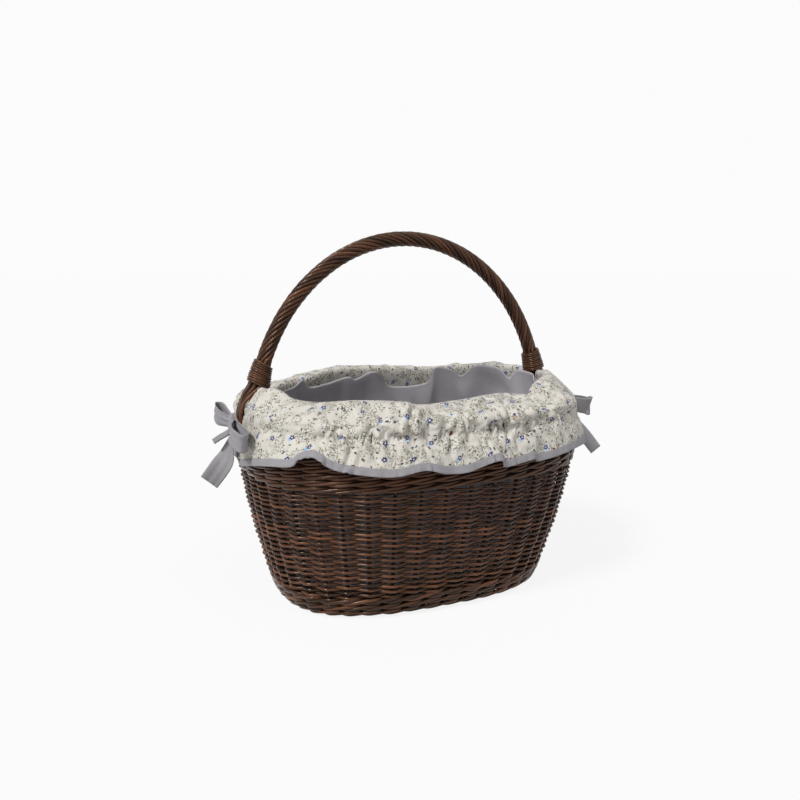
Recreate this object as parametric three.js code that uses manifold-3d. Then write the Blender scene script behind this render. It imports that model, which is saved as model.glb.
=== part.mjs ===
// A willow shopping basket with a fixed bow handle and a tied cloth liner.
// Millimetres, +Z up. The origin is on the floor under the middle of the basket,
// and the bow handle stands over the X axis.

import * as THREE from 'three';
import { mergeVertices } from 'three/addons/utils/BufferGeometryUtils.js';
import Module from 'manifold-3d';

// Outside of the wicker: a rounded oblong that widens upwards and leans in again near the rim
const baseHalfLength = 169;
const baseHalfWidth = 116.5;
const shoulderHeight = 200;
const shoulderHalfLength = 214;
const shoulderHalfWidth = 174;
const wallBelly = 0.53;
const planSquareness = 2.6;
const footTuckHeight = 9;
const footTuckDepth = 5;
const rimHeight = 234;
const shoulderLean = 11;
const leanFootHeight = 160;

// Clearances between separate pieces
const rodClearance = 0.7;
const seatClearance = 0.35;
const meetingGap = 0.3;

// Wicker wall
const stakeCount = 41;
const stakeThickness = 5;
const rodThickness = 3.5;
const stakeFootHeight = 2;
const upsettTop = 27;
const sidingTop = 161;
const sidingRounds = 12;
const topWaleRounds = 1.7;
const rodTipHeight = 1.2;
const borderHeight = 22;
const borderWidth = 14;
const borderPlaitDepth = 1.2;

// Base
const hoopHeight = 8;
const hoopWidth = 8;
const hoopFlat = 5.6;
const hoopShoulder = 4.4;
const crossStickCount = 5;
const longStickCount = 3;
const crossStickWidth = 6.4;
const crossStickHeight = 6;
const longStickWidth = 5;
const longStickHeight = 3.2;
const slathPitch = 19;
const slathMargin = 13;
const baseRounds = 3.5;

// Bow handle
const bowRadius = 3.8;
const bowTopHeight = 434;
const bowSpringDrop = 28;
const bowFootHeight = 120;
const strandCount = 6;
const strandThickness = 4.7;
const strandWidth = 5.7;
const bendClearance = 0.5;
const strandTurns = 5;
const stepsPerTurn = 7;
const bindingRise = 28;
const bindingLength = 29;
const bindingTurns = 9;
const bindingSteps = 9;
const bindingRodThickness = 2.5;
const bindingFlare = 2.2;
const bindingMargin = 0.04;

// Cloth liner
const clothThickness = 2;
const liningFolds = 10;
const liningFoldDepth = 9;
const liningRise = 4;
const crestRise = 24;
const crestCrown = 2;
const crestInsetEnds = 9.7;
const crestInsetSides = 32;
const mouthBehindCrest = 9;
const rollRise = 7;
const rollFullness = 4;
const flatCrestDrop = 15;
const flatRollDrop = 5;
const shirringDrop = 9;
const flareShare = 0.45;
const hemFlare = 8;
const hemDrop = 49;
const hemBandHeight = 8;
const hemEndDrop = 17;
const hemHighLift = 19;
const hemMiddleLift = 6;
const hemLowLift = 4;
const hemBandThickness = 3;
const frillSplit = 33;
const frillFolds = 7;
const ringsPerFold = 4;
const foldDepth = 4;
const frillSlack = 0.9;

// Ribbon bows
const ribbonWidth = 24;
const ribbonThickness = 1.2;
const knotHeight = 20;
const knotWidth = 15;
const knotDepth = 10;
const knotDrop = 13;
const loopLength = 36;
const leftFrontLoop = 58;
const leftBackLoop = 60;
const leftLongTail = 78;
const leftShortTail = 34;
const rightLongTail = 65;
const rightShortTail = 60;

const finishes = {
  willow: { color: 0x3a2118, roughness: 0.45, metalness: 0 },
  paleWillow: { color: 0x5a3626, roughness: 0.45, metalness: 0 },
  lining: { color: 0x6f6b70, roughness: 0.9, metalness: 0 },
  floral: { color: 0xe2ddd3, roughness: 0.95, metalness: 0 },
  ribbon: { color: 0x9b989e, roughness: 0.85, metalness: 0 },
};

const basket = new THREE.Group();

function addPiece(name, geometry, finish) {
  geometry.computeVertexNormals();
  const material = new THREE.MeshStandardMaterial({ ...finishes[finish], flatShading: true });
  const mesh = new THREE.Mesh(geometry, material);
  mesh.name = name;
  basket.add(mesh);
  return mesh;
}

// Surfaces built from rings of points

function signedVolume(points, triangles) {
  let total = 0;
  const normal = new THREE.Vector3();
  for (const [a, b, c] of triangles) {
    total += points[a].dot(normal.crossVectors(points[b], points[c]));
  }
  return total / 6;
}

function solidFrom(points, triangles) {
  const outward = signedVolume(points, triangles) > 0;
  const index = triangles.flatMap(([a, b, c]) => (outward ? [a, b, c] : [a, c, b]));
  const geometry = new THREE.BufferGeometry().setFromPoints(points);
  geometry.setIndex(index);
  return geometry;
}

function capTriangles(count) {
  const triangles = [];
  let low = 0;
  let high = count - 1;
  while (high - low > 1) {
    triangles.push([low, low + 1, high]);
    low += 1;
    if (high - low > 1) {
      triangles.push([low, high - 1, high]);
      high -= 1;
    }
  }
  return triangles;
}

function loft(rings, closed = false) {
  const size = rings[0].length;
  const points = rings.flat();
  const triangles = [];
  const spans = closed ? rings.length : rings.length - 1;
  for (let i = 0; i < spans; i += 1) {
    const here = i * size;
    const there = ((i + 1) % rings.length) * size;
    for (let k = 0; k < size; k += 1) {
      const next = (k + 1) % size;
      triangles.push([here + k, here + next, there + next]);
      triangles.push([here + k, there + next, there + k]);
    }
  }
  if (!closed) {
    const last = (rings.length - 1) * size;
    for (const [a, b, c] of capTriangles(size)) {
      triangles.push([a, c, b]);
      triangles.push([last + a, last + b, last + c]);
    }
  }
  return solidFrom(points, triangles);
}

function sectionRing(centre, across, upward, outline) {
  return outline.map(([u, v]) => centre.clone().addScaledVector(across, u).addScaledVector(upward, v));
}

function lozenge(width, height) {
  return [[width / 2, 0], [0, height / 2], [-width / 2, 0], [0, -height / 2]];
}

// The wall's plan: a superellipse whose shares of the way round are equal arcs

function planPoint(angle, halfLength, halfWidth) {
  const c = Math.cos(angle);
  const s = Math.sin(angle);
  const power = 2 / planSquareness;
  return new THREE.Vector2(
    halfLength * Math.sign(c) * Math.abs(c) ** power,
    halfWidth * Math.sign(s) * Math.abs(s) ** power,
  );
}

const arcSteps = 1440;
const arcLengths = [0];
for (let i = 1; i <= arcSteps; i += 1) {
  const from = planPoint((i - 1) / arcSteps * 2 * Math.PI, shoulderHalfLength, shoulderHalfWidth);
  const to = planPoint(i / arcSteps * 2 * Math.PI, shoulderHalfLength, shoulderHalfWidth);
  arcLengths.push(arcLengths[i - 1] + from.distanceTo(to));
}
const wayRound = arcLengths[arcSteps];

function angleAt(share) {
  const target = (share - Math.floor(share)) * wayRound;
  let low = 0;
  let high = arcSteps;
  while (high - low > 1) {
    const middle = (low + high) >> 1;
    if (arcLengths[middle] <= target) low = middle;
    else high = middle;
  }
  const part = (target - arcLengths[low]) / (arcLengths[high] - arcLengths[low]);
  return (low + part) / arcSteps * 2 * Math.PI;
}

function outlineAt(height) {
  const share = height / shoulderHeight;
  const swell = share + wallBelly * share * (1 - share);
  const tuck = footTuckDepth * Math.max(0, 1 - height / footTuckHeight);
  const leaning = Math.max(0, (height - leanFootHeight) / (rimHeight - leanFootHeight));
  const pulledIn = tuck + shoulderLean * leaning ** 2;
  return {
    halfLength: baseHalfLength + (shoulderHalfLength - baseHalfLength) * swell - pulledIn,
    halfWidth: baseHalfWidth + (shoulderHalfWidth - baseHalfWidth) * swell - pulledIn,
  };
}

function outwardAt(share, height) {
  const { halfLength, halfWidth } = outlineAt(height);
  const p = planPoint(angleAt(share), halfLength, halfWidth);
  const slope = planSquareness - 1;
  return new THREE.Vector3(
    Math.sign(p.x) * Math.abs(p.x / halfLength) ** slope / halfLength,
    Math.sign(p.y) * Math.abs(p.y / halfWidth) ** slope / halfWidth,
    0,
  ).normalize();
}

function onWall(share, height, inset) {
  const { halfLength, halfWidth } = outlineAt(height);
  const p = planPoint(angleAt(share), halfLength, halfWidth);
  return new THREE.Vector3(p.x, p.y, height).addScaledVector(outwardAt(share, height), -inset);
}

// 1 at the two ends of the basket, falling to 0 along its long sides
function nearEnds(share) {
  return Math.abs(Math.cos(angleAt(share))) ** 12;
}

const up = new THREE.Vector3(0, 0, 1);
const stakeInset = rodThickness + rodClearance + stakeThickness / 2;
const strokeReach = stakeThickness / 2 + rodClearance + rodThickness / 2;
const wallInnerInset = stakeInset + strokeReach + rodThickness / 2;
const borderMiddle = rimHeight - borderHeight / 2;
const topWaleTop = rimHeight - borderHeight - rodClearance;
const liningTop = rimHeight + liningRise;
const crestHeight = rimHeight + crestRise;
const bowSpringHeight = rimHeight - bowSpringDrop;
const bindingBottomHeight = rimHeight + bindingRise;
const bindingTopHeight = bindingBottomHeight + bindingLength;
const rollHeight = rimHeight + rollRise;
const shirringHeight = rimHeight - shirringDrop;
const hemHeight = rimHeight - hemDrop;
const knotLevel = rimHeight - knotDrop;

// Booleans on closed meshes

const wasm = await Module();
wasm.setup();

function toManifold(geometry) {
  const bare = new THREE.BufferGeometry();
  bare.setAttribute('position', geometry.getAttribute('position').clone());
  if (geometry.index) bare.setIndex(geometry.index.clone());
  const merged = mergeVertices(bare, 1e-4);
  return new wasm.Manifold(new wasm.Mesh({
    numProp: 3,
    vertProperties: Float32Array.from(merged.getAttribute('position').array),
    triVerts: Uint32Array.from(merged.index.array),
  }));
}

function fromManifold(solid) {
  const { vertProperties, triVerts } = solid.getMesh();
  const geometry = new THREE.BufferGeometry();
  geometry.setAttribute('position', new THREE.BufferAttribute(Float32Array.from(vertProperties), 3));
  geometry.setIndex(new THREE.BufferAttribute(Uint32Array.from(triVerts), 1));
  return geometry;
}

// Stakes: upright rods whose tips are bent down and plaited into the border, so a stake and
// its stretch of the border are one piece of willow work. The wall's eight sides and corners
// each have a run of neighbouring stakes, and the runs meet halfway between two stakes.

function stake(number) {
  const share = number / stakeCount;
  const wallPart = (borderMiddle - footTuckHeight) / 4;
  const heights = [stakeFootHeight];
  for (const part of [0, 1, 2, 3, 3.5, 4]) heights.push(footTuckHeight + part * wallPart);
  return loft(heights.map((height) => {
    const outward = outwardAt(share, height);
    const along = new THREE.Vector3().crossVectors(up, outward);
    const section = lozenge(stakeThickness, stakeThickness);
    return sectionRing(onWall(share, height, stakeInset), outward, along, section);
  }));
}

// place counts stakes round the wall; the plait's dips alternate from stake to stake
function borderRing(place) {
  const corners = 6;
  const nearest = Math.round(place);
  const halfway = Math.abs(place - nearest) > 0.25;
  const outline = [];
  for (let k = 0; k < corners; k += 1) {
    const angle = k / corners * 2 * Math.PI;
    const dipHere = Math.abs(k + nearest) % 2 === 0 ? 0 : borderPlaitDepth;
    const dip = k % 3 === 0 ? 0 : (halfway ? borderPlaitDepth / 2 : dipHere);
    const wide = borderWidth / 2 - dip;
    const tall = (borderHeight / 2 - dip) / Math.sin(Math.PI / 3);
    outline.push([wide * Math.cos(angle), tall * Math.sin(angle)]);
  }
  const share = place / stakeCount;
  return sectionRing(onWall(share, borderMiddle, stakeInset), outwardAt(share, borderMiddle), up, outline);
}

const runNames = [
  'right_end', 'back_right', 'back', 'back_left', 'left_end', 'front_left', 'front', 'front_right',
];
const runMiddle = Math.floor(stakeCount / runNames.length / 2);

function firstStakeOfRun(run) {
  return Math.round(run * stakeCount / runNames.length) - runMiddle;
}

runNames.forEach((runName, run) => {
  const first = firstStakeOfRun(run);
  const last = firstStakeOfRun(run + 1) - 1;
  const halfGap = meetingGap / 2 * stakeCount / wayRound;
  const rings = [borderRing(first - 0.5 + halfGap)];
  for (let place = first; place <= last; place += 1) rings.push(borderRing(place));
  rings.push(borderRing(last + 0.5 - halfGap));
  let piece = toManifold(loft(rings));
  for (let number = first; number <= last; number += 1) {
    piece = piece.add(toManifold(stake(number)));
  }
  addPiece(`${runName}_stakes_and_border`, fromManifold(piece), 'willow');
});

// Weaving. A rod climbs as a helix and passes each stake on the outer or the inner side.
// Its tip and butt taper, so a band starts and ends level. With several rods the starts
// are spread round the basket, and each rod lies on the one that started after it.

function weaveBand({ names, bottom, top, rounds, insideEvery, finish }) {
  const climb = (top - bottom) / rounds;
  const starts = names.map((_, k) => Math.round(k * stakeCount / names.length));
  names.forEach((name, k) => {
    const following = k + 1 < starts.length ? starts[k + 1] : stakeCount;
    const lead = (following - starts[k]) / stakeCount;
    const tipTurn = (rodClearance + rodTipHeight) / climb;
    const first = Math.ceil(tipTurn * stakeCount);
    const last = Math.floor((rounds + lead - tipTurn) * stakeCount);
    const rings = [];
    for (let i = first; i <= last; i += 1) {
      const turns = i / stakeCount;
      const share = (starts[k] + i) / stakeCount;
      const ceiling = Math.min(bottom + climb * turns, top) - rodClearance / 2;
      const floor = bottom + climb * Math.max(0, turns - lead) + rodClearance / 2;
      const height = (ceiling + floor) / 2;
      const side = (i + k) % insideEvery === 0 ? 1 : -1;
      const inset = stakeInset + side * strokeReach;
      rings.push([
        onWall(share, height, inset - rodThickness / 2),
        onWall(share, ceiling, inset),
        onWall(share, height, inset + rodThickness / 2),
        onWall(share, floor, inset),
      ]);
    }
    addPiece(name, loft(rings), finish);
  });
}

weaveBand({
  names: ['upsett_wale_1', 'upsett_wale_2', 'upsett_wale_3'],
  bottom: stakeFootHeight,
  top: upsettTop,
  rounds: 1,
  insideEvery: 3,
  finish: 'willow',
});
weaveBand({
  names: ['side_weaver'],
  bottom: upsettTop,
  top: sidingTop,
  rounds: sidingRounds,
  insideEvery: 2,
  finish: 'paleWillow',
});
weaveBand({
  names: ['top_wale_1', 'top_wale_2', 'top_wale_3'],
  bottom: sidingTop,
  top: topWaleTop,
  rounds: topWaleRounds,
  insideEvery: 3,
  finish: 'willow',
});

// Base: a hoop that stands on the floor, with the slath of sticks lying on it

const hoopInset = wallInnerInset + rodClearance + hoopWidth / 2;

function hoopSpot(share, height) {
  return onWall(share, stakeFootHeight, hoopInset).setZ(height);
}

function baseHoop() {
  const outline = [
    [-hoopFlat / 2, 0],
    [hoopFlat / 2, 0],
    [hoopWidth / 2, hoopShoulder],
    [0, hoopHeight],
    [-hoopWidth / 2, hoopShoulder],
  ];
  const rings = [];
  for (let i = 0; i < stakeCount; i += 1) {
    const share = i / stakeCount;
    rings.push(sectionRing(hoopSpot(share, 0), outwardAt(share, stakeFootHeight), up, outline));
  }
  return loft(rings, true);
}

addPiece('base_hoop', baseHoop(), 'willow');

const stickLevel = hoopHeight + seatClearance + crossStickHeight / 2;
const armCount = 2 * (crossStickCount + longStickCount);
const slathHalfWidth = slathPitch * (longStickCount - 1) / 2 + slathMargin;
const slathHalfLength = slathPitch * (crossStickCount - 1) / 2 + slathMargin;
const middleLong = (longStickCount - 1) / 2;

// Arms are numbered anticlockwise from the middle of the +X end.
// Each arm runs straight from the slath's edge to the top of the hoop.
function armInner(arm) {
  const number = (arm + armCount) % armCount;
  const firstCross = middleLong + 1;
  const farEnd = firstCross + crossStickCount;
  const secondCross = farEnd + longStickCount;
  const middleCross = (crossStickCount - 1) / 2;
  if (number < firstCross || number >= secondCross + crossStickCount) {
    const row = number < firstCross ? number : number - armCount;
    return new THREE.Vector3(slathHalfLength, row * slathPitch, stickLevel);
  }
  if (number < farEnd) {
    const column = middleCross - (number - firstCross);
    return new THREE.Vector3(column * slathPitch, slathHalfWidth, stickLevel);
  }
  if (number < secondCross) {
    const row = middleLong - (number - farEnd);
    return new THREE.Vector3(-slathHalfLength, row * slathPitch, stickLevel);
  }
  const column = number - secondCross - middleCross;
  return new THREE.Vector3(column * slathPitch, -slathHalfWidth, stickLevel);
}

function armOuter(arm) {
  return hoopSpot(arm / armCount, stickLevel);
}

function stickSection(width, height) {
  const w = width / 2;
  const h = height / 2;
  return [[w, 0], [w * 0.4, h], [-w * 0.4, h], [-w, 0], [-w * 0.4, -h], [w * 0.4, -h]];
}

function stick(stations, width, height) {
  const rings = stations.map((station, i) => {
    const before = stations[Math.max(0, i - 1)];
    const after = stations[Math.min(stations.length - 1, i + 1)];
    const along = new THREE.Vector3().subVectors(after, before).normalize();
    const across = new THREE.Vector3().crossVectors(up, along);
    return sectionRing(station, across, up, stickSection(width, height));
  });
  return loft(rings);
}

const longSticks = [];
for (let n = 0; n < longStickCount; n += 1) {
  const right = n - middleLong;
  const left = armCount / 2 - right;
  longSticks.push([armOuter(right), armInner(right), armInner(left), armOuter(left)]);
}
longSticks.forEach((stations, n) => {
  addPiece(`long_base_stick_${n + 1}`, stick(stations, longStickWidth, longStickHeight), 'paleWillow');
});

// The cross sticks are pierced for the long ones, which pass through their middles
const piercings = longSticks.map((stations) => toManifold(stick(
  [stations[1], stations[2]],
  longStickWidth + 4 * seatClearance,
  longStickHeight + 2 * seatClearance,
)));
for (let n = 0; n < crossStickCount; n += 1) {
  const near = middleLong + 1 + n;
  const far = armCount - near;
  const middle = armInner(near).setY(0);
  const stations = [armOuter(near), armInner(near), middle, armInner(far), armOuter(far)];
  let crossStick = toManifold(stick(stations, crossStickWidth, crossStickHeight));
  for (const piercing of piercings) crossStick = crossStick.subtract(piercing);
  addPiece(`cross_base_stick_${n + 1}`, fromManifold(crossStick), 'paleWillow');
}

// Two rods chase each other round the slath, over one arm and under the next
function baseWeaver(order) {
  const reach = crossStickHeight / 2 + rodThickness / 2 + 2 * rodClearance;
  const rings = [];
  for (let i = 0; i <= baseRounds * armCount; i += 1) {
    const arm = i + order * armCount / 2;
    const inner = armInner(arm % armCount);
    const outer = armOuter(arm % armCount);
    const alongArm = new THREE.Vector3().subVectors(outer, inner);
    const length = alongArm.length() - hoopWidth / 2 - rodClearance;
    alongArm.normalize();
    const lane = length / (baseRounds + 0.5);
    const travelled = lane * (0.25 + i / armCount);
    const side = (i + (armCount / 2) * order + order) % 2 === 0 ? 1 : -1;
    const centre = inner.clone().addScaledVector(alongArm, travelled).addScaledVector(up, side * reach);
    rings.push(sectionRing(centre, alongArm, up, lozenge(lane / 2 - rodClearance, rodThickness)));
  }
  return loft(rings);
}

addPiece('base_weaver_1', baseWeaver(0), 'willow');
addPiece('base_weaver_2', baseWeaver(1), 'willow');

// Bow handle: one stout rod bent to an arch and pushed down inside the wall at both ends.
// The border holds its feet a little closer together than the arch would spread.

const bowInset = stakeInset + borderWidth / 2 + seatClearance + bowRadius;
const bowHalfSpan = shoulderHalfLength - bowInset;
const bowSlotHalfSpan = onWall(0, borderMiddle, bowInset).x;
const bowRise = bowTopHeight - bowSpringHeight;
const bowJoinRise = bowRise * Math.sqrt(1 - (bowSlotHalfSpan / bowHalfSpan) ** 2);
const bowJoinHeight = bowSpringHeight + bowJoinRise;

class BowArch extends THREE.Curve {
  constructor(startHeight) {
    super();
    this.startAngle = Math.asin((startHeight - bowSpringHeight) / bowRise);
  }

  getPoint(t, target = new THREE.Vector3()) {
    const angle = this.startAngle + t * (Math.PI - 2 * this.startAngle);
    const x = -bowHalfSpan * Math.cos(angle);
    return target.set(x, 0, bowSpringHeight + bowRise * Math.sin(angle));
  }
}

function bowPath() {
  const arch = new BowArch(bowJoinHeight);
  const footSteps = 2;
  const archSteps = 20;
  const foot = [];
  for (let i = 0; i < footSteps; i += 1) {
    const height = bowFootHeight + i / footSteps * (bowSpringHeight - bowFootHeight);
    foot.push(onWall(0.5, height, bowInset).setY(0));
  }
  foot.push(new THREE.Vector3(-bowSlotHalfSpan, 0, bowSpringHeight));
  const points = [...foot];
  for (let i = 0; i <= archSteps; i += 1) points.push(arch.getPointAt(i / archSteps));
  for (const point of foot.reverse()) points.push(point.clone().setX(-point.x));
  return points;
}

function sweepInArchPlane(points, outline) {
  const front = new THREE.Vector3(0, -1, 0);
  return loft(points.map((point, i) => {
    const before = points[Math.max(0, i - 1)];
    const after = points[Math.min(points.length - 1, i + 1)];
    const along = new THREE.Vector3().subVectors(after, before).normalize();
    const outward = new THREE.Vector3(-along.z, 0, along.x);
    return sectionRing(point, outward, front, outline);
  }));
}

const bowCorners = 6;
const bowSection = Array.from({ length: bowCorners }, (_, k) => {
  const angle = k / bowCorners * 2 * Math.PI;
  return [bowRadius * Math.cos(angle), bowRadius * Math.sin(angle)];
});
addPiece('bow_core', sweepInArchPlane(bowPath(), bowSection), 'willow');

// Strands laid round the bow. They twist between the two bindings, lie straight and
// spread under them, and the outer ones go on over the border as a flat bundle and down
// its outside, where the ribbons tie them down.

const upperArch = new BowArch(bindingBottomHeight);
const bindingShare = shareAtHeight(bindingTopHeight);

function shareAtHeight(height) {
  const samples = 400;
  let step = 0;
  while (step < samples / 2 && upperArch.getPointAt(step / samples).z < height) step += 1;
  return step / samples;
}

function archFrame(share) {
  const centre = upperArch.getPointAt(share);
  const along = upperArch.getTangentAt(share);
  return {
    centre,
    along,
    outward: new THREE.Vector3(-along.z, 0, along.x),
    front: new THREE.Vector3(0, -1, 0),
  };
}

const chordFactor = Math.cos(Math.PI / stepsPerTurn);
const strandOrbit = (bowRadius + seatClearance + strandThickness / 2) / chordFactor;

function orbitAt(share) {
  const fromEnd = Math.min(share, 1 - share) / bindingShare;
  return strandOrbit + bindingFlare * Math.max(0, 1 - fromEnd);
}

function strandTurn(number, share) {
  const twisted = THREE.MathUtils.clamp((share - bindingShare) / (1 - 2 * bindingShare), 0, 1);
  return (number + 0.5) / strandCount * 2 * Math.PI + twisted * strandTurns * 2 * Math.PI;
}

function strandSpot(number, share) {
  const { centre, outward, front } = archFrame(share);
  const turn = strandTurn(number, share);
  centre.addScaledVector(outward, orbitAt(share) * Math.cos(turn));
  return centre.addScaledVector(front, orbitAt(share) * Math.sin(turn));
}

function strandStations(number) {
  const steps = strandTurns * stepsPerTurn;
  const stations = [];
  const addStation = (share) => {
    const { outward, front } = archFrame(share);
    const turn = strandTurn(number, share);
    stations.push({
      centre: strandSpot(number, share),
      radial: outward.multiplyScalar(Math.cos(turn)).addScaledVector(front, Math.sin(turn)),
    });
  };
  addStation(0);
  for (let i = 0; i <= steps; i += 1) addStation(bindingShare + i / steps * (1 - 2 * bindingShare));
  addStation(1);
  return stations;
}

function strandTail(number, end) {
  const turn = (number + 0.5) / strandCount * 2 * Math.PI;
  if (Math.cos(turn) < -0.1) return [];
  const share = end < 0 ? 0.5 : 0;
  const row = Math.abs(Math.cos(turn)) < 0.1 ? 1.5 : 0.5;
  const sideways = -Math.sign(Math.sin(turn)) * row * (strandWidth + rodClearance);
  const seat = seatClearance + strandThickness / 2 + bendClearance;
  const overBorder = stakeInset - 0.4 * borderWidth;
  const outsideBorder = stakeInset - borderWidth / 2 - seat;
  const places = [
    [borderMiddle - 0.45 * borderHeight, outsideBorder],
    [borderMiddle + 0.05 * borderHeight, outsideBorder],
    [rimHeight + seat, overBorder],
  ];
  return places.map(([height, inset]) => ({
    centre: onWall(share, borderMiddle, inset).setY(sideways).setZ(height),
    radial: new THREE.Vector3(end, 0, 0),
  }));
}

function strand(number) {
  const leftTail = strandTail(number, -1);
  const rightTail = strandTail(number, 1).reverse();
  const stations = [...leftTail, ...strandStations(number), ...rightTail];
  return loft(stations.map((station, i) => {
    const before = stations[Math.max(0, i - 1)].centre;
    const after = stations[Math.min(stations.length - 1, i + 1)].centre;
    const along = new THREE.Vector3().subVectors(after, before).normalize();
    const across = new THREE.Vector3().crossVectors(along, station.radial).normalize();
    const radial = new THREE.Vector3().crossVectors(across, along);
    return sectionRing(station.centre, radial, across, lozenge(strandThickness, strandWidth));
  }));
}

for (let number = 0; number < strandCount; number += 1) {
  addPiece(`bow_strand_${number + 1}`, strand(number), number % 2 ? 'willow' : 'paleWillow');
}

// Bindings: a thin rod wound round the strands near each foot of the bow

function windingGap(rings, stepsInTurn) {
  let least = Infinity;
  for (let i = 0; i < rings.length; i += 1) {
    for (let j = i + Math.round(stepsInTurn * 0.6); j < rings.length; j += 1) {
      for (const p of rings[i]) {
        for (const q of rings[j]) least = Math.min(least, p.distanceTo(q));
      }
    }
  }
  return least;
}

function bindingRings(end) {
  const rings = [];
  const steps = bindingTurns * bindingSteps;
  const squash = Math.cos(Math.PI / bindingSteps);
  for (let i = 0; i <= steps; i += 1) {
    const share = THREE.MathUtils.lerp(bindingMargin, 1 - bindingMargin, i / steps) * bindingShare;
    const { centre, along, outward, front } = archFrame(end < 0 ? share : 1 - share);
    const turn = i / bindingSteps * 2 * Math.PI;
    const inner = orbitAt(share) + strandThickness / 2 + seatClearance;
    const radius = inner / squash + bindingRodThickness / 2;
    const radial = outward.multiplyScalar(Math.cos(turn)).addScaledVector(front, Math.sin(turn));
    centre.addScaledVector(radial, radius);
    rings.push(sectionRing(centre, radial, along, lozenge(bindingRodThickness, bindingRodThickness)));
  }
  return rings;
}

for (const [name, end] of [['left_binding', -1], ['right_binding', 1]]) {
  const rings = bindingRings(end);
  console.log(`${name} least gap to itself ${windingGap(rings, bindingSteps).toFixed(2)} mm`);
  addPiece(name, loft(rings), 'willow');
}

// Cloth: a sheet of even thickness along a profile, as a closed strip of points

function clothRing(profile, outward, thickness) {
  const front = [];
  const back = [];
  profile.forEach((point, i) => {
    const before = profile[Math.max(0, i - 1)];
    const after = profile[Math.min(profile.length - 1, i + 1)];
    const along = new THREE.Vector3().subVectors(after, before);
    const side = new THREE.Vector3().addScaledVector(outward, along.z);
    side.addScaledVector(up, -along.dot(outward)).normalize();
    front.push(point.clone().addScaledVector(side, thickness / 2));
    back.push(point.clone().addScaledVector(side, -thickness / 2));
  });
  return [...front, ...back.reverse()];
}

const baseWeaveTop = stickLevel + crossStickHeight / 2 + 2 * rodClearance + rodThickness;
const liningFloorLevel = baseWeaveTop + seatClearance;
const liningBottom = liningFloorLevel + clothThickness + seatClearance;
const liningInset = wallInnerInset + seatClearance + clothThickness / 2;

// At the ends of the basket the cloth passes inside the feet of the bow
function bowClearInset(height) {
  const innerFace = bowSlotHalfSpan - bowRadius - 2 * seatClearance;
  return outlineAt(height).halfLength - innerFace + clothThickness / 2;
}

const mouthInsetEnds = Math.max(crestInsetEnds + mouthBehindCrest, bowClearInset(liningTop));
const mouthInsetSides = crestInsetSides + mouthBehindCrest;

function mouthInset(share) {
  return THREE.MathUtils.lerp(mouthInsetSides, mouthInsetEnds, nearEnds(share));
}

function crestInset(share) {
  return THREE.MathUtils.lerp(crestInsetSides, crestInsetEnds, nearEnds(share));
}

// The lining hangs loose inside the wall, with broad folds between floor and mouth
function liningWall() {
  const ringCount = 4 * liningFolds;
  const levels = [0, 0.42, 0.76, 1];
  const rings = [];
  for (let i = 0; i < ringCount; i += 1) {
    const share = i / ringCount;
    const fold = liningFoldDepth * (0.5 + 0.5 * Math.cos(share * liningFolds * 2 * Math.PI));
    const profile = levels.map((level) => {
      const height = THREE.MathUtils.lerp(liningBottom, liningTop, level);
      const hang = liningInset + fold * Math.min(1, level * 2.4);
      const drawn = THREE.MathUtils.smoothstep(level, 0.6, 1);
      const inset = THREE.MathUtils.lerp(hang, mouthInset(share), drawn);
      return onWall(share, height, Math.max(inset, nearEnds(share) * bowClearInset(height)));
    });
    rings.push(clothRing(profile, outwardAt(share, shoulderHeight), clothThickness));
  }
  return loft(rings, true);
}

function liningFloor() {
  const outline = [];
  for (let i = 0; i < stakeCount; i += 1) {
    const spot = onWall(i / stakeCount, liningFloorLevel, liningInset - clothThickness / 2);
    outline.push(new THREE.Vector2(spot.x, spot.y));
  }
  const options = { depth: clothThickness, bevelEnabled: false };
  return new THREE.ExtrudeGeometry(new THREE.Shape(outline), options).translate(0, 0, liningFloorLevel);
}

addPiece('lining_wall', liningWall(), 'lining');
addPiece('lining_floor', liningFloor(), 'lining');

// The frill: two halves that meet at the feet of the bow, each rolled over the border,
// drawn in by a shirring line and flaring below it to a bound hem

const tightOffset = clothThickness / 2 + frillSlack + borderWidth / 2 - stakeInset;
const hemLifts = [
  { share: 0.5, lift: -hemEndDrop, width: 0.035 },
  { share: 0.614, lift: hemHighLift, width: 0.015 },
  { share: 0.7, lift: hemLowLift, width: 0.015 },
  { share: 0.769, lift: hemMiddleLift, width: 0.015 },
  { share: 0.873, lift: hemLowLift, width: 0.015 },
];

function hemLine(share) {
  let level = hemHeight;
  for (const { share: middle, lift, width } of hemLifts) {
    level += lift * Math.exp(-(((share - middle) / width) ** 2));
  }
  return level;
}

// Behind the left foot of the bow the frill is pulled flat over the border
function pulledFlat(share) {
  return share > 0.5 ? 0 : THREE.MathUtils.smoothstep(share, 0.39, 0.43);
}

function frillProfile(share, phase) {
  const loose = 1 - nearEnds(share);
  const fold = Math.sin(phase) * foldDepth * loose;
  const hemTop = hemLine(share) + hemBandHeight;
  const flareHeight = THREE.MathUtils.lerp(shirringHeight, hemTop, flareShare);
  const crest = crestInset(share);
  const crestLevel = crestHeight - flatCrestDrop * pulledFlat(share) + 0.3 * fold;
  const rollLevel = rollHeight - flatRollDrop * pulledFlat(share);
  const offsets = [
    [liningTop + clothThickness, mouthInset(share)],
    [crestLevel, crest],
    [crestLevel - crestCrown, 0.4 * crest],
    [rollLevel, -tightOffset - rollFullness * loose - 0.4 * fold],
    [shirringHeight, -tightOffset],
    [flareHeight, -tightOffset - 0.75 * hemFlare * loose - 0.8 * fold],
    [hemTop, -tightOffset - hemFlare * loose - fold],
  ];
  return offsets.map(([height, inset]) => onWall(share, height, inset));
}

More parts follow.
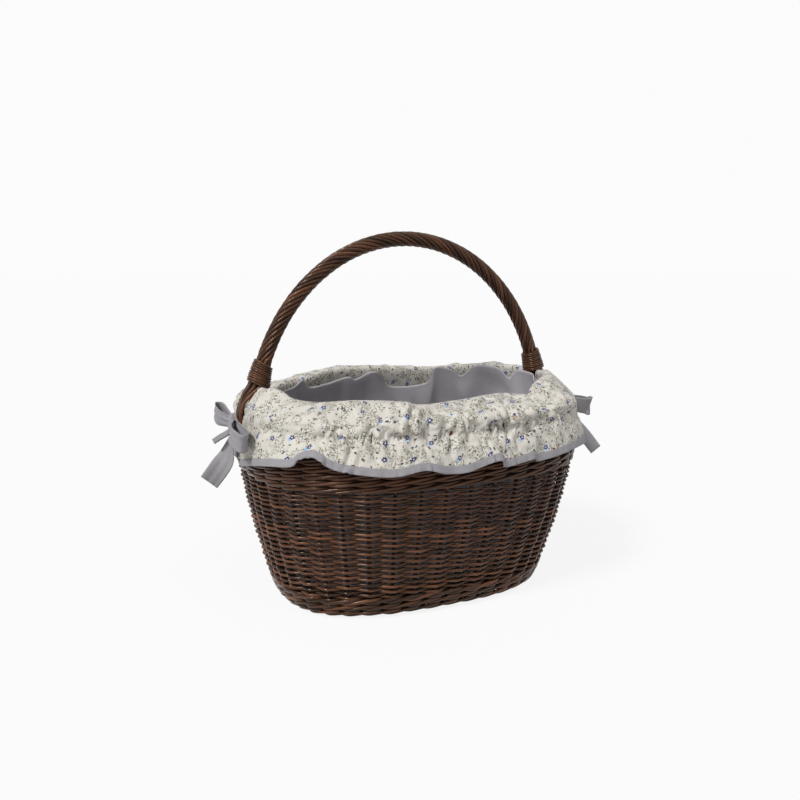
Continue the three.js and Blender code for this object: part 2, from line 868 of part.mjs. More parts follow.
function alongHalf(from, to, makeRing) {
  const gap = frillSplit / 2 / wayRound;
  const steps = frillFolds * ringsPerFold;
  const rings = [];
  for (let i = 0; i <= steps; i += 1) {
    const share = THREE.MathUtils.lerp(from + gap, to - gap, i / steps);
    rings.push(makeRing(share, i / ringsPerFold * 2 * Math.PI));
  }
  return loft(rings);
}

function frillRing(share, phase) {
  return clothRing(frillProfile(share, phase), outwardAt(share, shoulderHeight), clothThickness);
}

function hemRing(share, phase) {
  const profile = frillProfile(share, phase);
  const edge = profile[profile.length - 1];
  const above = profile[profile.length - 2];
  const down = new THREE.Vector3().subVectors(edge, above).normalize();
  const start = edge.clone().addScaledVector(down, seatClearance);
  const end = edge.clone().addScaledVector(down, hemBandHeight);
  return clothRing([start, end], outwardAt(share, shoulderHeight), hemBandThickness);
}

for (const [side, from, to] of [['back', 0, 0.5], ['front', 0.5, 1]]) {
  addPiece(`${side}_frill`, alongHalf(from, to, frillRing), 'floral');
  addPiece(`${side}_hem_binding`, alongHalf(from, to, hemRing), 'ribbon');
}

// Ribbon bows, tied round the feet of the bow handle in the gaps between the frill halves.
// Places are given from the middle of the knot: out from the basket, along Y, and up.

function knotMiddle(end) {
  const share = end < 0 ? 0.5 : 0;
  const bundleFace = stakeInset - borderWidth / 2 - strandThickness - bendClearance;
  return onWall(share, borderMiddle, bundleFace - knotDepth / 2).setY(0).setZ(knotLevel);
}

function ribbon(end, stations) {
  const middle = knotMiddle(end);
  const spots = stations.map(({ at: [out, y, z] }) => new THREE.Vector3(end * out, y, z).add(middle));
  return loft(spots.map((spot, i) => {
    const before = spots[Math.max(0, i - 1)];
    const after = spots[Math.min(spots.length - 1, i + 1)];
    const along = stations[i].leaves ?? new THREE.Vector3().subVectors(after, before).normalize();
    const [out, y, z] = stations[i].edge;
    const edge = new THREE.Vector3(end * out, y, z);
    edge.addScaledVector(along, -edge.dot(along)).normalize();
    const face = new THREE.Vector3().crossVectors(along, edge);
    const width = ribbonWidth * stations[i].spread;
    const outline = [
      [width / 2, ribbonThickness / 2],
      [-width / 2, ribbonThickness / 2],
      [-width / 2, -ribbonThickness / 2],
      [width / 2, -ribbonThickness / 2],
    ];
    return sectionRing(spot, edge, face, outline);
  }));
}

// Half the distance between two ribbon ends that come out of the knot together
const knotExit = 0.5 * ribbonThickness + seatClearance;

// A loop leaves one side of the knot and comes back to it. The inner leg lies on the
// frill and the outer leg stands off it. A turned-out loop leans away from the basket.
function loopStations({ side, length, rise, lean }) {
  const start = knotWidth / 2 + seatClearance;
  const turn = [
    [0, -knotExit, 0.45],
    [0.5, 1.2, 0.8],
    [0.88, 2.2, 1],
    [1, 6, 1],
    [0.94, 10, 1],
    [0.5, 10.5, 0.85],
    [0, knotExit, 0.45],
  ];
  return turn.map(([part, out, spread], i) => ({
    at: [out + lean * part, side * (start + (length - start) * part), rise * part],
    edge: [0, -side * rise / length, 1],
    spread,
    leaves: part > 0 ? undefined : new THREE.Vector3(0, i > 0 ? -side : side, 0),
  }));
}

// A tail leaves the bottom of the knot and hangs through places given as shares of its length
function tailStations({ exit, length, places }) {
  const start = [exit * knotExit, 0, -knotHeight / 2 - seatClearance, 0.4];
  const hung = places.map(([out, y, z, spread]) => [out * length, y * length, z * length, spread]);
  return [start, ...hung].map(([out, y, z, spread], i) => ({
    at: [out, y, z],
    edge: [0.3, 1, 0],
    spread,
    leaves: i > 0 ? undefined : new THREE.Vector3(0, 0, -1),
  }));
}

const bows = {
  left: {
    end: -1,
    back_loop: loopStations({ side: 1, length: leftBackLoop, rise: 0.1 * leftBackLoop, lean: 0 }),
    front_loop: loopStations({
      side: -1, length: leftFrontLoop, rise: -0.16 * leftFrontLoop, lean: -0.14 * leftFrontLoop,
    }),
    long_tail: tailStations({
      exit: -1,
      length: leftLongTail,
      places: [
        [0.04, 0.01, -0.26, 0.7], [0.15, 0, -0.51, 1], [0.31, -0.03, -0.77, 1], [0.49, -0.05, -1, 1],
      ],
    }),
    short_tail: tailStations({
      exit: 1,
      length: leftShortTail,
      places: [[0.24, 0.09, -0.44, 0.7], [0.5, 0.15, -0.71, 0.9], [0.79, 0.21, -1, 0.9]],
    }),
  },
  right: {
    end: 1,
    back_loop: loopStations({ side: 1, length: loopLength, rise: 0.39 * loopLength, lean: 0 }),
    front_loop: loopStations({
      side: -1, length: loopLength, rise: 0.11 * loopLength, lean: 0.61 * loopLength,
    }),
    long_tail: tailStations({
      exit: 1,
      length: rightLongTail,
      places: [
        [0.14, -0.09, -0.26, 0.7], [0.29, -0.23, -0.48, 1], [0.43, -0.4, -0.72, 1], [0.58, -0.58, -1, 1],
      ],
    }),
    short_tail: tailStations({
      exit: -1,
      length: rightShortTail,
      places: [[0.03, 0.05, -0.37, 0.7], [0.15, 0.05, -0.67, 1], [0.3, 0.03, -1, 1]],
    }),
  },
};

for (const [side, { end, ...ribbons }] of Object.entries(bows)) {
  const knot = new THREE.SphereGeometry(0.5, 8, 6);
  knot.rotateX(Math.PI / 2).scale(knotDepth, knotWidth, knotHeight);
  knot.translate(...knotMiddle(end).toArray());
  addPiece(`${side}_knot`, knot, 'ribbon');
  for (const [name, stations] of Object.entries(ribbons)) {
    addPiece(`${side}_${name}`, ribbon(end, stations), 'ribbon');
  }
}

export default basket;
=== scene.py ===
# %% [markdown]
# # A willow shopping basket with a tied cloth liner
# The basket is dark willow: uprights called stakes, thin rods woven round them, a rope-laid
# handle over its length, and a cotton liner whose frill is turned down over the rim.
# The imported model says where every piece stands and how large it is. This script gives
# each piece its real surface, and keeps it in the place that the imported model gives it.

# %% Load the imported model
import math

import bmesh
import bpy
import numpy as np
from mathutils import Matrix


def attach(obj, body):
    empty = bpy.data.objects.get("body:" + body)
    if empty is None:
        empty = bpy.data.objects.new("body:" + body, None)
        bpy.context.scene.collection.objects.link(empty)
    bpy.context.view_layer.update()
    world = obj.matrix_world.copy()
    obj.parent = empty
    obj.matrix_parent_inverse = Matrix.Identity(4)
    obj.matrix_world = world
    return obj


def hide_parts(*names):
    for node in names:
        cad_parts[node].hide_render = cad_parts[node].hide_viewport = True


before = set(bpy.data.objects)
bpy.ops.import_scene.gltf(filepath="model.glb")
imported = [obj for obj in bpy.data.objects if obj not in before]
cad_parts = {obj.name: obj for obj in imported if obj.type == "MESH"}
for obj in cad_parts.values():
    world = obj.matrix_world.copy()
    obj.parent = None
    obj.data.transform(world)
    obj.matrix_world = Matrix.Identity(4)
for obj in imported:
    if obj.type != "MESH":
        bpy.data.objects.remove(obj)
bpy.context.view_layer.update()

MM = 0.001
print("nodes", len(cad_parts))

# %% [markdown]
# ## Camera and light
# A product photograph of this kind is taken with a longish lens, a little above the rim and
# well to the left, in soft light from the front left. A camera on a circle round the basket
# is written by its azimuth, its elevation and its distance, and looks at one point.

# %% Camera
AZIMUTH = math.radians(-23.87)
ELEVATION = math.radians(9.35)
CAMERA_DISTANCE = 1028.2 * MM
LOOK_AT = np.array([-8.1, 0, 234]) * MM
LENS_MM = 36.6
SENSOR_MM = 36


def direction(azimuth, elevation):
    """The unit vector from the basket towards a viewer."""
    flat = math.cos(elevation)
    return np.array([math.sin(azimuth) * flat, -math.cos(azimuth) * flat, math.sin(elevation)])


camera = bpy.data.objects.new("camera", bpy.data.cameras.new("camera"))
camera.data.lens = LENS_MM
camera.data.sensor_width = SENSOR_MM
camera.location = LOOK_AT + CAMERA_DISTANCE * direction(AZIMUTH, ELEVATION)
camera.rotation_euler = (math.pi / 2 - ELEVATION, 0, AZIMUTH)
bpy.context.scene.collection.objects.link(camera)
bpy.context.scene.camera = camera
bpy.context.scene.view_settings.view_transform = "Standard"
print("camera at", [round(x, 3) for x in camera.location])

# %% [markdown]
# ## Shader maths as Python
# A procedural finish is arithmetic on sockets. A small class wraps one socket, so that an
# expression such as `1 - mask * 0.5` adds its own Math nodes. Any other node comes from
# `Finish.add`, which takes the node's type, its settings, and what its sockets get.

# %% Sockets and finishes


class Socket:
    """One output of a node, with arithmetic."""

    def __init__(self, finish, output):
        self.finish = finish
        self.output = output

    def maths(self, operation, *others):
        """A Math node whose first value is this socket."""
        return self.finish.add("ShaderNodeMath", {"operation": operation}, dict(enumerate((self, *others))))

    def __add__(self, other):
        return self.maths("ADD", other)

    def __sub__(self, other):
        return self.maths("SUBTRACT", other)

    def __mul__(self, other):
        return self.maths("MULTIPLY", other)

    def __truediv__(self, other):
        return self.maths("DIVIDE", other)

    def __rsub__(self, other):
        return self.finish.add("ShaderNodeMath", {"operation": "SUBTRACT"}, {0: other, 1: self})

    def __gt__(self, other):
        return self.maths("GREATER_THAN", other)

    def __lt__(self, other):
        return self.maths("LESS_THAN", other)

    __radd__ = __add__
    __rmul__ = __mul__

    def fade(self, start, end):
        """0 up to start, 1 from end on, and smooth between them."""
        settings = {"interpolation_type": "SMOOTHSTEP"}
        return self.finish.add("ShaderNodeMapRange", settings, {0: self, 1: start, 2: end})


class Finish:
    """The nodes of a new material or world, with the few ways of adding more that are used here."""

    def __init__(self, owner, main_node="Principled BSDF"):
        owner.use_nodes = True
        self.owner = owner
        self.tree = owner.node_tree
        self.shader = self.tree.nodes[main_node]

    def add(self, kind, settings, sockets, output=0):
        node = self.tree.nodes.new(kind)
        for name, value in settings.items():
            setattr(node, name, value)
        for place, value in sockets.items():
            self.plug(node.inputs[place], value)
        return Socket(self, node.outputs[output])

    def plug(self, place, value):
        if isinstance(value, Socket):
            self.tree.links.new(value.output, place)
        else:
            place.default_value = value

    def uv(self, axis):
        """The piece's own UV map, in metres of the flat material."""
        both = self.add("ShaderNodeUVMap", {"uv_map": "UVMap"}, {})
        return self.add("ShaderNodeSeparateXYZ", {}, {0: both}, axis)

    def attribute(self, name):
        return self.add("ShaderNodeAttribute", {"attribute_name": name}, {}, "Fac")

    def vector(self, x, y, z=0.0):
        return self.add("ShaderNodeCombineXYZ", {}, {0: x, 1: y, 2: z})

    def noise(self, place, scale, detail=2.0):
        return self.add("ShaderNodeTexNoise", {}, {"Vector": place, "Scale": scale, "Detail": detail})

    def blend(self, share, first, second):
        """One colour turning into another."""
        colours = [c if isinstance(c, Socket) else (*c, 1) for c in (first, second)]
        sockets = {0: share, 6: colours[0], 7: colours[1]}
        return self.add("ShaderNodeMix", {"data_type": "RGBA"}, sockets, 2)

    def bump(self, height, distance, **sockets):
        return self.add("ShaderNodeBump", {}, {"Height": height, "Distance": distance, **sockets})

    def surface(self, **sockets):
        """Fills the main node's sockets. A tuple is a colour."""
        for name, value in sockets.items():
            place = self.shader.inputs[name.replace("_", " ")]
            if isinstance(value, tuple):
                value = (*value, 1)
            self.plug(place, value)
        return self.owner


print("shader helpers ready")

# %% [markdown]
# ## Floor, background and lamps
# The basket stands on white. To the camera and in reflections the floor is mostly plain
# white, and a small share of it is a lit surface, which keeps the basket's shadow. For the
# light that it throws back it is an ordinary pale floor. The light is a weak sky all round,
# a strong lamp from the left and a weaker one high in front.

# %% Stage
FLOOR_HALF = 30.0
FLOOR_GREY = 0.75
SHADOW_SHARE = 0.12
SKY_WHITE = 0.97
SKY_STRENGTH = 0.25
# azimuth, elevation and width in degrees, and strength
LAMPS = {"key": (-62, 46, 14, 2.65), "top": (14, 58, 20, 0.4)}


def only_for_viewers(finish):
    """1 for a ray from the camera, a reflection or a clear part, 0 where it only carries light."""
    direct = finish.add("ShaderNodeLightPath", {}, {}, "Is Camera Ray")
    mirrored = finish.add("ShaderNodeLightPath", {}, {}, "Is Glossy Ray")
    through = finish.add("ShaderNodeLightPath", {}, {}, "Is Transmission Ray")
    seen_in_any_way = direct + mirrored + through
    return seen_in_any_way.maths("MINIMUM", 1)


floor_mesh = bmesh.new()
bmesh.ops.create_grid(floor_mesh, x_segments=1, y_segments=1, size=FLOOR_HALF)
floor = bpy.data.objects.new("floor", bpy.data.meshes.new("floor"))
floor_mesh.to_mesh(floor.data)
floor_mesh.free()
bpy.context.scene.collection.objects.link(floor)
floor_finish = Finish(bpy.data.materials.new("white_floor"))
floor_finish.surface(Base_Color=(FLOOR_GREY,) * 3, Roughness=1.0, Specular_IOR_Level=0.0)
white = floor_finish.add("ShaderNodeEmission", {}, {"Color": (1, 1, 1, 1), "Strength": 1.0})
share = only_for_viewers(floor_finish) * (1 - SHADOW_SHARE)
lit = Socket(floor_finish, floor_finish.shader.outputs[0])
mixed = floor_finish.add("ShaderNodeMixShader", {}, {0: share, 1: lit, 2: white})
floor_finish.plug(floor_finish.tree.nodes["Material Output"].inputs["Surface"], mixed)
floor.data.materials.append(floor_finish.owner)

sky = Finish(bpy.data.worlds.new("sky"), "Background")
bpy.context.scene.world = sky.owner
sky_strength = SKY_STRENGTH + only_for_viewers(sky) * (1 - SKY_STRENGTH)
sky.surface(Color=(SKY_WHITE,) * 3, Strength=sky_strength)

# Each lamp is so far off that its light is even. Its width is the angle that it fills.
for name, (azimuth, elevation, width, strength) in LAMPS.items():
    lamp = bpy.data.objects.new(name, bpy.data.lights.new(name, "SUN"))
    lamp.data.angle = math.radians(width)
    lamp.data.energy = strength
    lamp.rotation_euler = (math.radians(90 - elevation), 0, math.radians(azimuth))
    bpy.context.scene.collection.objects.link(lamp)
    print(f"{name} lamp at azimuth {azimuth}, elevation {elevation}")

# %% [markdown]
# ## The wall
# The wall is a rounded oblong in plan, wider than deep. It widens upwards with a belly, and
# leans in again near the rim, where the border pulls the stakes over.
# A superellipse gives that plan with one number for its squareness. Everything woven
# follows it, so one function turns a share of the way round, a height and a depth inside
# the outer face into points in space, for whole rows of points at once.

# %% Wall shape
FOOT_HALF = np.array([169, 116.5]) * MM
SHOULDER_HALF = np.array([214, 174]) * MM
SHOULDER_HEIGHT = 200 * MM
BELLY = 0.53
SQUARENESS = 2.6
FOOT_TUCK = 5 * MM
TUCK_HEIGHT = 9 * MM
SHOULDER_LEAN = 11 * MM
LEAN_FOOT = 160 * MM
STAKES = 41
STAKE_DEPTH = 6.7 * MM
STROKE_REACH = 4.6 * MM
RIM_HEIGHT = 234 * MM
END_SHARPNESS = 12


def half_sizes(height):
    part = np.asarray(height) / SHOULDER_HEIGHT
    swell = part + BELLY * part * (1 - part)
    tuck = FOOT_TUCK * np.clip(1 - np.asarray(height) / TUCK_HEIGHT, 0, 1)
    leaning = np.clip((np.asarray(height) - LEAN_FOOT) / (RIM_HEIGHT - LEAN_FOOT), 0, None)
    pulled_in = tuck + SHOULDER_LEAN * leaning**2
    return [FOOT_HALF[i] + (SHOULDER_HALF[i] - FOOT_HALF[i]) * swell - pulled_in for i in (0, 1)]


def plan(angle, half_length, half_width):
    cos, sin = np.cos(angle), np.sin(angle)
    power = 2 / SQUARENESS
    return half_length * np.sign(cos) * abs(cos) ** power, half_width * np.sign(sin) * abs(sin) ** power


angle_table = np.linspace(0, 2 * math.pi, 1441)
x_table, y_table = plan(angle_table, *SHOULDER_HALF)
way_table = np.concatenate([[0], np.cumsum(np.hypot(np.diff(x_table), np.diff(y_table)))])
WAY_ROUND = way_table[-1]


def angle_at(share):
    return np.interp(np.mod(share, 1) * WAY_ROUND, way_table, angle_table)


def outward(share, height):
    half_length, half_width = half_sizes(height)
    x, y = plan(angle_at(share), half_length, half_width)
    slope = SQUARENESS - 1
    nx = np.sign(x) * abs(x / half_length) ** slope / half_length
    ny = np.sign(y) * abs(y / half_width) ** slope / half_width
    length = np.hypot(nx, ny)
    return np.stack([nx / length, ny / length, 0 * nx], axis=-1)


def on_wall(share, height, depth):
    """Points a depth inside the wall's outer face; a negative depth stands off it."""
    share, height, depth = np.broadcast_arrays(share, height, depth)
    x, y = plan(angle_at(share), *half_sizes(height))
    return np.stack([x, y, height], axis=-1) - depth[..., None] * outward(share, height)


def near_ends(share):
    """1 at the two ends of the basket, falling to 0 along its long sides."""
    return abs(np.cos(angle_at(share))) ** END_SHARPNESS


print(f"way round at the shoulder {WAY_ROUND:.3f} m")

# %% [markdown]
# ## Chance, the same every time
# Nothing grown or sewn is regular. A smooth random curve, and a smooth random field made of
# such curves, move rods and folds by small amounts. Both come from seeded numbers, so the
# basket is the same basket on every run.

# %% Smooth random curves


def wander(x, seed, period=64):
    """A smooth random curve from -1 to 1 that turns about once for each step of x."""
    knots = np.random.default_rng(seed).uniform(-1, 1, period)
    whole = np.floor(x).astype(int)
    part = x - whole
    ease = part * part * (3 - 2 * part)
    return knots[whole % period] * (1 - ease) + knots[(whole + 1) % period] * ease


def wander_field(x, y, seed, period=64):
    """A smooth random surface from -1 to 1 over x and y."""
    knots = np.random.default_rng(seed).uniform(-1, 1, (period, period))
    i, j = np.floor(x).astype(int), np.floor(y).astype(int)
    u, v = x - i, y - j
    u, v = u * u * (3 - 2 * u), v * v * (3 - 2 * v)
    i, j, k, l = i % period, j % period, (i + 1) % period, (j + 1) % period
    low = knots[i, j] * (1 - u) + knots[k, j] * u
    high = knots[i, l] * (1 - u) + knots[k, l] * u
    return low * (1 - v) + high * v


def smooth_path(points, per_span, closed=False):
    """A Catmull-Rom curve through points, with per_span steps between each two of them."""
    points = np.asarray(points, float)
    if closed:
        around = np.concatenate([points[-1:], points, points[:2]])
    else:
        around = np.concatenate([2 * points[:1] - points[1:2], points, 2 * points[-1:] - points[-2:-1]])
    t = (np.arange(per_span) / per_span).reshape(-1, *[1] * (points.ndim - 1))
    spans = []
    for a, b, c, d in zip(around, around[1:], around[2:], around[3:]):
        spans.append(b + 0.5 * t * (c - a + t * (2 * a - 5 * b + 4 * c - d + t * (3 * (b - c) + d - a))))
    if not closed:
        spans.append(points[-1:])
    return np.concatenate(spans)


print("random curve", [round(float(v), 2) for v in wander(np.arange(3.0), 1)])

# %% [markdown]
# ## Rods and sheets from one grid
# A willow rod is a long tube and a cloth is a long sheet, and both are a rectangle of faces
# that has been bent: the rod is rolled until two edges meet. So both start from
# `bmesh.ops.create_grid`, whose vertices are then moved to their places. A rod's two
# outermost rings close on the path, which gives it cut ends, and merging doubles seals it.
# Each rod carries a number of its own, so that its finish can differ from its neighbour's.

# %% Rod and sheet builder


def unit(vectors):
    return vectors / np.maximum(np.linalg.norm(vectors, axis=-1, keepdims=True), 1e-12)


class Work:
    """Grids that end up as one piece. Each is moved to its place when the piece is made."""

    def __init__(self):
        self.mesh = bmesh.new()
        self.uv = self.mesh.loops.layers.uv.new("UVMap")
        self.places = []
        self.maps = []
        self.numbers = []

    def grid(self, places, flat, number=0.0):
        """places is rows by columns by 3, flat the same by 2: the UV in metres."""
        rows, columns = places.shape[:2]
        bmesh.ops.create_grid(self.mesh, x_segments=columns - 1, y_segments=rows - 1, size=0.5)
        self.places.append(places.reshape(-1, 3))
        self.maps.append(flat.reshape(-1, 2))
        self.numbers.append(np.full(rows * columns, number))

    def rod(self, path, radius, side, number=0.0, sides=8, flatness=1.0):
        """A round rod along path. side says which way its section's first axis looks."""
        path = np.asarray(path)
        radius = np.broadcast_to(radius, len(path))
        along = unit(np.gradient(path, axis=0))
        side = np.broadcast_to(side, path.shape)
        first = unit(side - (side * along).sum(axis=1, keepdims=True) * along)
        second = np.cross(along, first)
        way = np.concatenate([[0], np.cumsum(np.linalg.norm(np.diff(path, axis=0), axis=1))])
        closed = np.concatenate([[0], np.arange(len(path)), [len(path) - 1]])
        size = radius[closed].copy()
        size[[0, -1]] = 0
        turn = np.linspace(0, 2 * math.pi, sides + 1)[:, None, None]
        ring = np.cos(turn) * first[closed] * flatness + np.sin(turn) * second[closed]
        places = path[closed] + ring * size[:, None]
        flat = np.stack(np.broadcast_arrays(way[closed][None, :], turn[:, :, 0] * radius.mean()), axis=-1)
        self.grid(places, flat, number)

    def piece(self, name, node_names, slot, material, thickness=0.0, sharp=50):
        """Moves the grids to their places and turns them into the finished object."""
        data = bpy.data.meshes.new(name)
        self.mesh.to_mesh(data)
        self.mesh.free()
        places = np.concatenate(self.places)
        data.vertices.foreach_set("co", places.ravel())
        corner = np.empty(len(data.loops), int)
        data.loops.foreach_get("vertex_index", corner)
        data.uv_layers["UVMap"].data.foreach_set("uv", np.concatenate(self.maps)[corner].ravel())
        number = data.attributes.new("rod", "FLOAT", "POINT")
        number.data.foreach_set("value", np.concatenate(self.numbers))
        sealed = bmesh.new()
        sealed.from_mesh(data)
        bmesh.ops.remove_doubles(sealed, verts=sealed.verts, dist=1e-6)
        bmesh.ops.recalc_face_normals(sealed, faces=sealed.faces)
        sealed.to_mesh(data)
        sealed.free()
        data.polygons.foreach_set("use_smooth", np.ones(len(data.polygons), bool))
        data.set_sharp_from_angle(angle=math.radians(sharp))
        data.materials.append(material)
        thing = bpy.data.objects.new(name, data)
        bpy.context.scene.collection.objects.link(thing)
        if thickness:
            cloth = thing.modifiers.new("cloth", "SOLIDIFY")
            cloth.thickness = thickness
            cloth.offset = 0
        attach(thing, "root")
        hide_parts(*node_names)
        triangles = sum(len(face.vertices) - 2 for face in data.polygons)
        print(f"{name}: {triangles} triangles")
        return thing


print("rod and sheet builder ready")

# %% [markdown]
# ## Willow finish
# The rods are stained dark brown and varnished to a satin shine. Each rod took the stain a
# little differently, its bark left fine streaks along it, and some rods are redder.
# The streaks run along the rod, so they are read from its UV map, and the shade that
# differs from rod to rod comes from the rod's number.

# %% Willow


def willow(name, dark, light):
    finish = Finish(bpy.data.materials.new(name))
    along, around = finish.uv(0), finish.uv(1)
    number = finish.attribute("rod")
    chance = finish.add("ShaderNodeTexWhiteNoise", {"noise_dimensions": "1D"}, {"W": number}, "Value")
    place = finish.vector(along, around, number)
    patch = finish.noise(finish.vector(along * 9, around * 40, number), 1.0, 2.0).fade(0.3, 0.72)
    streak = finish.noise(finish.vector(along * 60, around * 1500, number), 1.0, 3.0)
    shade = chance * 0.45 + patch * 0.35 + streak * 0.3
    colour = finish.blend(shade.fade(0.15, 0.95), dark, light)
    redder = (chance > 0.72) * patch * 0.7
    colour = finish.blend(redder, colour, (0.17, 0.062, 0.025))
    scar = finish.noise(place, 260.0, 1.0).fade(0.68, 0.8)
    colour = finish.blend(scar * 0.5, colour, (0.012, 0.006, 0.005))
    relief = streak * 0.6 + finish.noise(place, 90.0, 2.0) * 0.4
    return finish.surface(
        Base_Color=colour,
        Roughness=0.2 + patch * 0.1 + scar * 0.2,
        Specular_IOR_Level=0.3,
        Specular_Tint=(1.0, 0.74, 0.58),
        Normal=finish.bump(relief, 0.12 * MM),
    )


dark_willow = willow("dark_willow", (0.010, 0.005, 0.0035), (0.115, 0.050, 0.028))
brown_willow = willow("brown_willow", (0.011, 0.0055, 0.004), (0.13, 0.056, 0.031))
print("willow finishes ready")

# %% [markdown]
# ## Stakes
# The uprights are the thickest rods in the wall. In the real basket their tips are bent
# down and plaited into the border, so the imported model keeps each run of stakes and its
# stretch of the border as one node. Each is a rod up the wall at its own share of the way.

# %% Stakes
STAKE_RADIUS = 2.5 * MM
STAKE_FOOT = 6 * MM
STAKE_TAPER = 0.85
BORDER_MIDDLE = 223 * MM

stakes = Work()
for number in range(STAKES):
    heights = np.linspace(STAKE_FOOT, BORDER_MIDDLE, 28)
    thin = np.linspace(STAKE_RADIUS, STAKE_TAPER * STAKE_RADIUS, len(heights))
    side = outward(np.full(len(heights), number / STAKES), heights)
    stakes.rod(on_wall(number / STAKES, heights, STAKE_DEPTH), thin, side, number)
run_nodes = [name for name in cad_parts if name.endswith("stakes_and_border")]
stakes.piece("stakes", run_nodes, "willow", dark_willow)

# %% [markdown]
# ## Border
# Each stake's tip leans over its neighbours, out over the rim and back in below, so three
# tips lie side by side at any place and look like a plait. One tip is a turn round the
# border's middle line while it travels three stakes on.

# %% Border
BORDER_REACH = np.array([4.6, 8.6]) * MM
TIP_TRAVEL = 3.3
TIP_START = -150
TIP_SWEEP = 400
TIP_RADIUS = 2.35 * MM

border = Work()
for number in range(STAKES):
    part = np.linspace(0, 1, 30)
    share = (number + TIP_TRAVEL * part) / STAKES
    turn = np.radians(TIP_START + TIP_SWEEP * part)
    radius = TIP_RADIUS * (1.05 - 0.3 * part)
    depth = STAKE_DEPTH - BORDER_REACH[0] * np.sin(turn)
    height = BORDER_MIDDLE - BORDER_REACH[1] * np.cos(turn)
    side = outward(share, height)
    border.rod(on_wall(share, height, depth), radius, side, 100 + number)
border.piece("border", run_nodes, "willow", dark_willow)

# %% [markdown]
# ## Side weaving
# The wall is randed: one thin rod at a time goes in front of one stake and behind the next,
# with an odd number of stakes, so each row steps aside from the row below. A rod runs out
# after a round and a bit, and the next one starts where it ends. The whole band is one
# spiral: its depth swings from front to back once for every two stakes. The rows lie
# closer together towards the top.

# %% Side weaving
UPSETT_TOP = 27 * MM
SIDING_FOOT = 24.8 * MM
SIDING_TOP = 161 * MM
SIDING_ROWS = 43
SIDING_RADIUS = 1.55 * MM
ROUNDS_PER_ROD = 1.32
ROD_OVERLAP = 1.2
SIDING_GROUPS = 4
ROD_SWAY = 0.45
ROW_SWAY = 0.8
ROD_TAPER = 0.26
BEND_SHARPNESS = 0.97
CLOSING_UP = 0.18
STEPS_PER_STAKE = 8


def randed_depth(stakes_passed):
    """Nearly straight from stake to stake, with a short bend round each."""
    bend = np.arcsin(BEND_SHARPNESS * np.cos(math.pi * stakes_passed))
    return STAKE_DEPTH - STROKE_REACH * bend / math.asin(BEND_SHARPNESS)


def siding_rod(work, first_stake, last_stake, number):
    count = int((last_stake - first_stake) * STEPS_PER_STAKE) + 1
    passed = np.linspace(first_stake, last_stake, count)
    share = passed / STAKES
    climb = SIDING_TOP - SIDING_FOOT - 2 * SIDING_RADIUS
    risen = share / (SIDING_ROWS - 1)
    sway = ROD_SWAY * wander(passed / 1.7, 40 + number) + ROW_SWAY * wander(share % 1 * 12, 7, 12)
    height = SIDING_FOOT + SIDING_RADIUS + climb * risen * (1 + CLOSING_UP * (1 - risen)) + sway * MM
    depth = randed_depth(passed) - 0.6 * MM * wander(passed, 90 + number)
    along = np.linspace(0, 1, count)
    radius = SIDING_RADIUS * (1.14 - ROD_TAPER * along) * (1 + CLOSING_UP * (1 - 2 * risen))
    radius = radius * (1 + 0.05 * wander(passed / 2, 60 + number))
    work.rod(on_wall(share, height, depth), radius, outward(share, height), number)


rods = math.ceil((SIDING_ROWS - 1) / ROUNDS_PER_ROD)
for group in range(SIDING_GROUPS):
    siding = Work()
    for number in range(group * rods // SIDING_GROUPS, (group + 1) * rods // SIDING_GROUPS):
        first = number * ROUNDS_PER_ROD * STAKES
        last = min(first + ROUNDS_PER_ROD * STAKES + ROD_OVERLAP, (SIDING_ROWS - 1) * STAKES)
        siding_rod(siding, first, last, number)
    siding.piece(f"side_weaving_{group + 1}", ["side_weaver"], "pale_willow", brown_willow)
print("rods in the siding", rods)

# %% [markdown]
# ## Waling
# At the foot and under the border three rods are woven together: each passes in front of
# two stakes and behind one, and over the other two as it goes, so the band looks like a
# rope. The swing in depth comes once in three stakes, and each stroke climbs a little
# from its start to its end.

# %% Waling
WALE_RODS = 3
WALE_SIZE = 0.5
STROKE_CLIMB = 0.577
UPSETT_FOOT = 1.5 * MM
TOP_WALE_TOP = 211 * MM


def waled_depth(phase):
    from_stake = np.minimum(phase, WALE_RODS - phase)
    swing = np.where(from_stake < 1, -np.cos(math.pi * from_stake), 1)
    return STAKE_DEPTH - STROKE_REACH * swing


def wale(name, nodes, bottom, top, rows, seed):
    """Every round shows two rows, because at each stake two of the three rods pass in front."""
    work = Work()
    pitch = (top - bottom) / rows
    rounds = rows / 2
    radius = WALE_SIZE * pitch
    for rod in range(WALE_RODS):
        passed = np.linspace(0, rounds * STAKES, int(rounds * STAKES * STEPS_PER_STAKE) + 1)
        share = passed / STAKES
        phase = np.mod(passed - rod, WALE_RODS)
        stroke = -STROKE_CLIMB * pitch * np.sin(2 * math.pi * phase / WALE_RODS)
        middle = np.clip(2 * pitch * share, radius, top - bottom - radius)
        height = bottom + middle + stroke * np.clip(2 * share, 0, 1)
        height = height + 0.5 * MM * wander(np.mod(share, 1) * 12, seed, 12)
        size = radius * (1 + 0.07 * wander(passed / 2.3, seed + rod))
        depth = waled_depth(phase) - 0.5 * MM * wander(passed, seed + 9 + rod)
        work.rod(on_wall(share, height, depth), size, outward(share, height), 200 + seed + rod)
    work.piece(name, nodes, "willow", dark_willow)


upsett_nodes, top_nodes = ([f"{place}_wale_{i}" for i in (1, 2, 3)] for place in ("upsett", "top"))
wale("upsett", upsett_nodes, UPSETT_FOOT, UPSETT_TOP, 6, 11)
wale("top_wale", top_nodes, SIDING_TOP, TOP_WALE_TOP, 13, 23)

# %% [markdown]
# ## Base
# The basket stands on a stout hoop. Five short sticks, pierced in the middle, have three
# long ones through them, and all their ends fan out onto the hoop. Two thin rods chase each
# other round the cross, over one arm and under the next, until the base is filled.

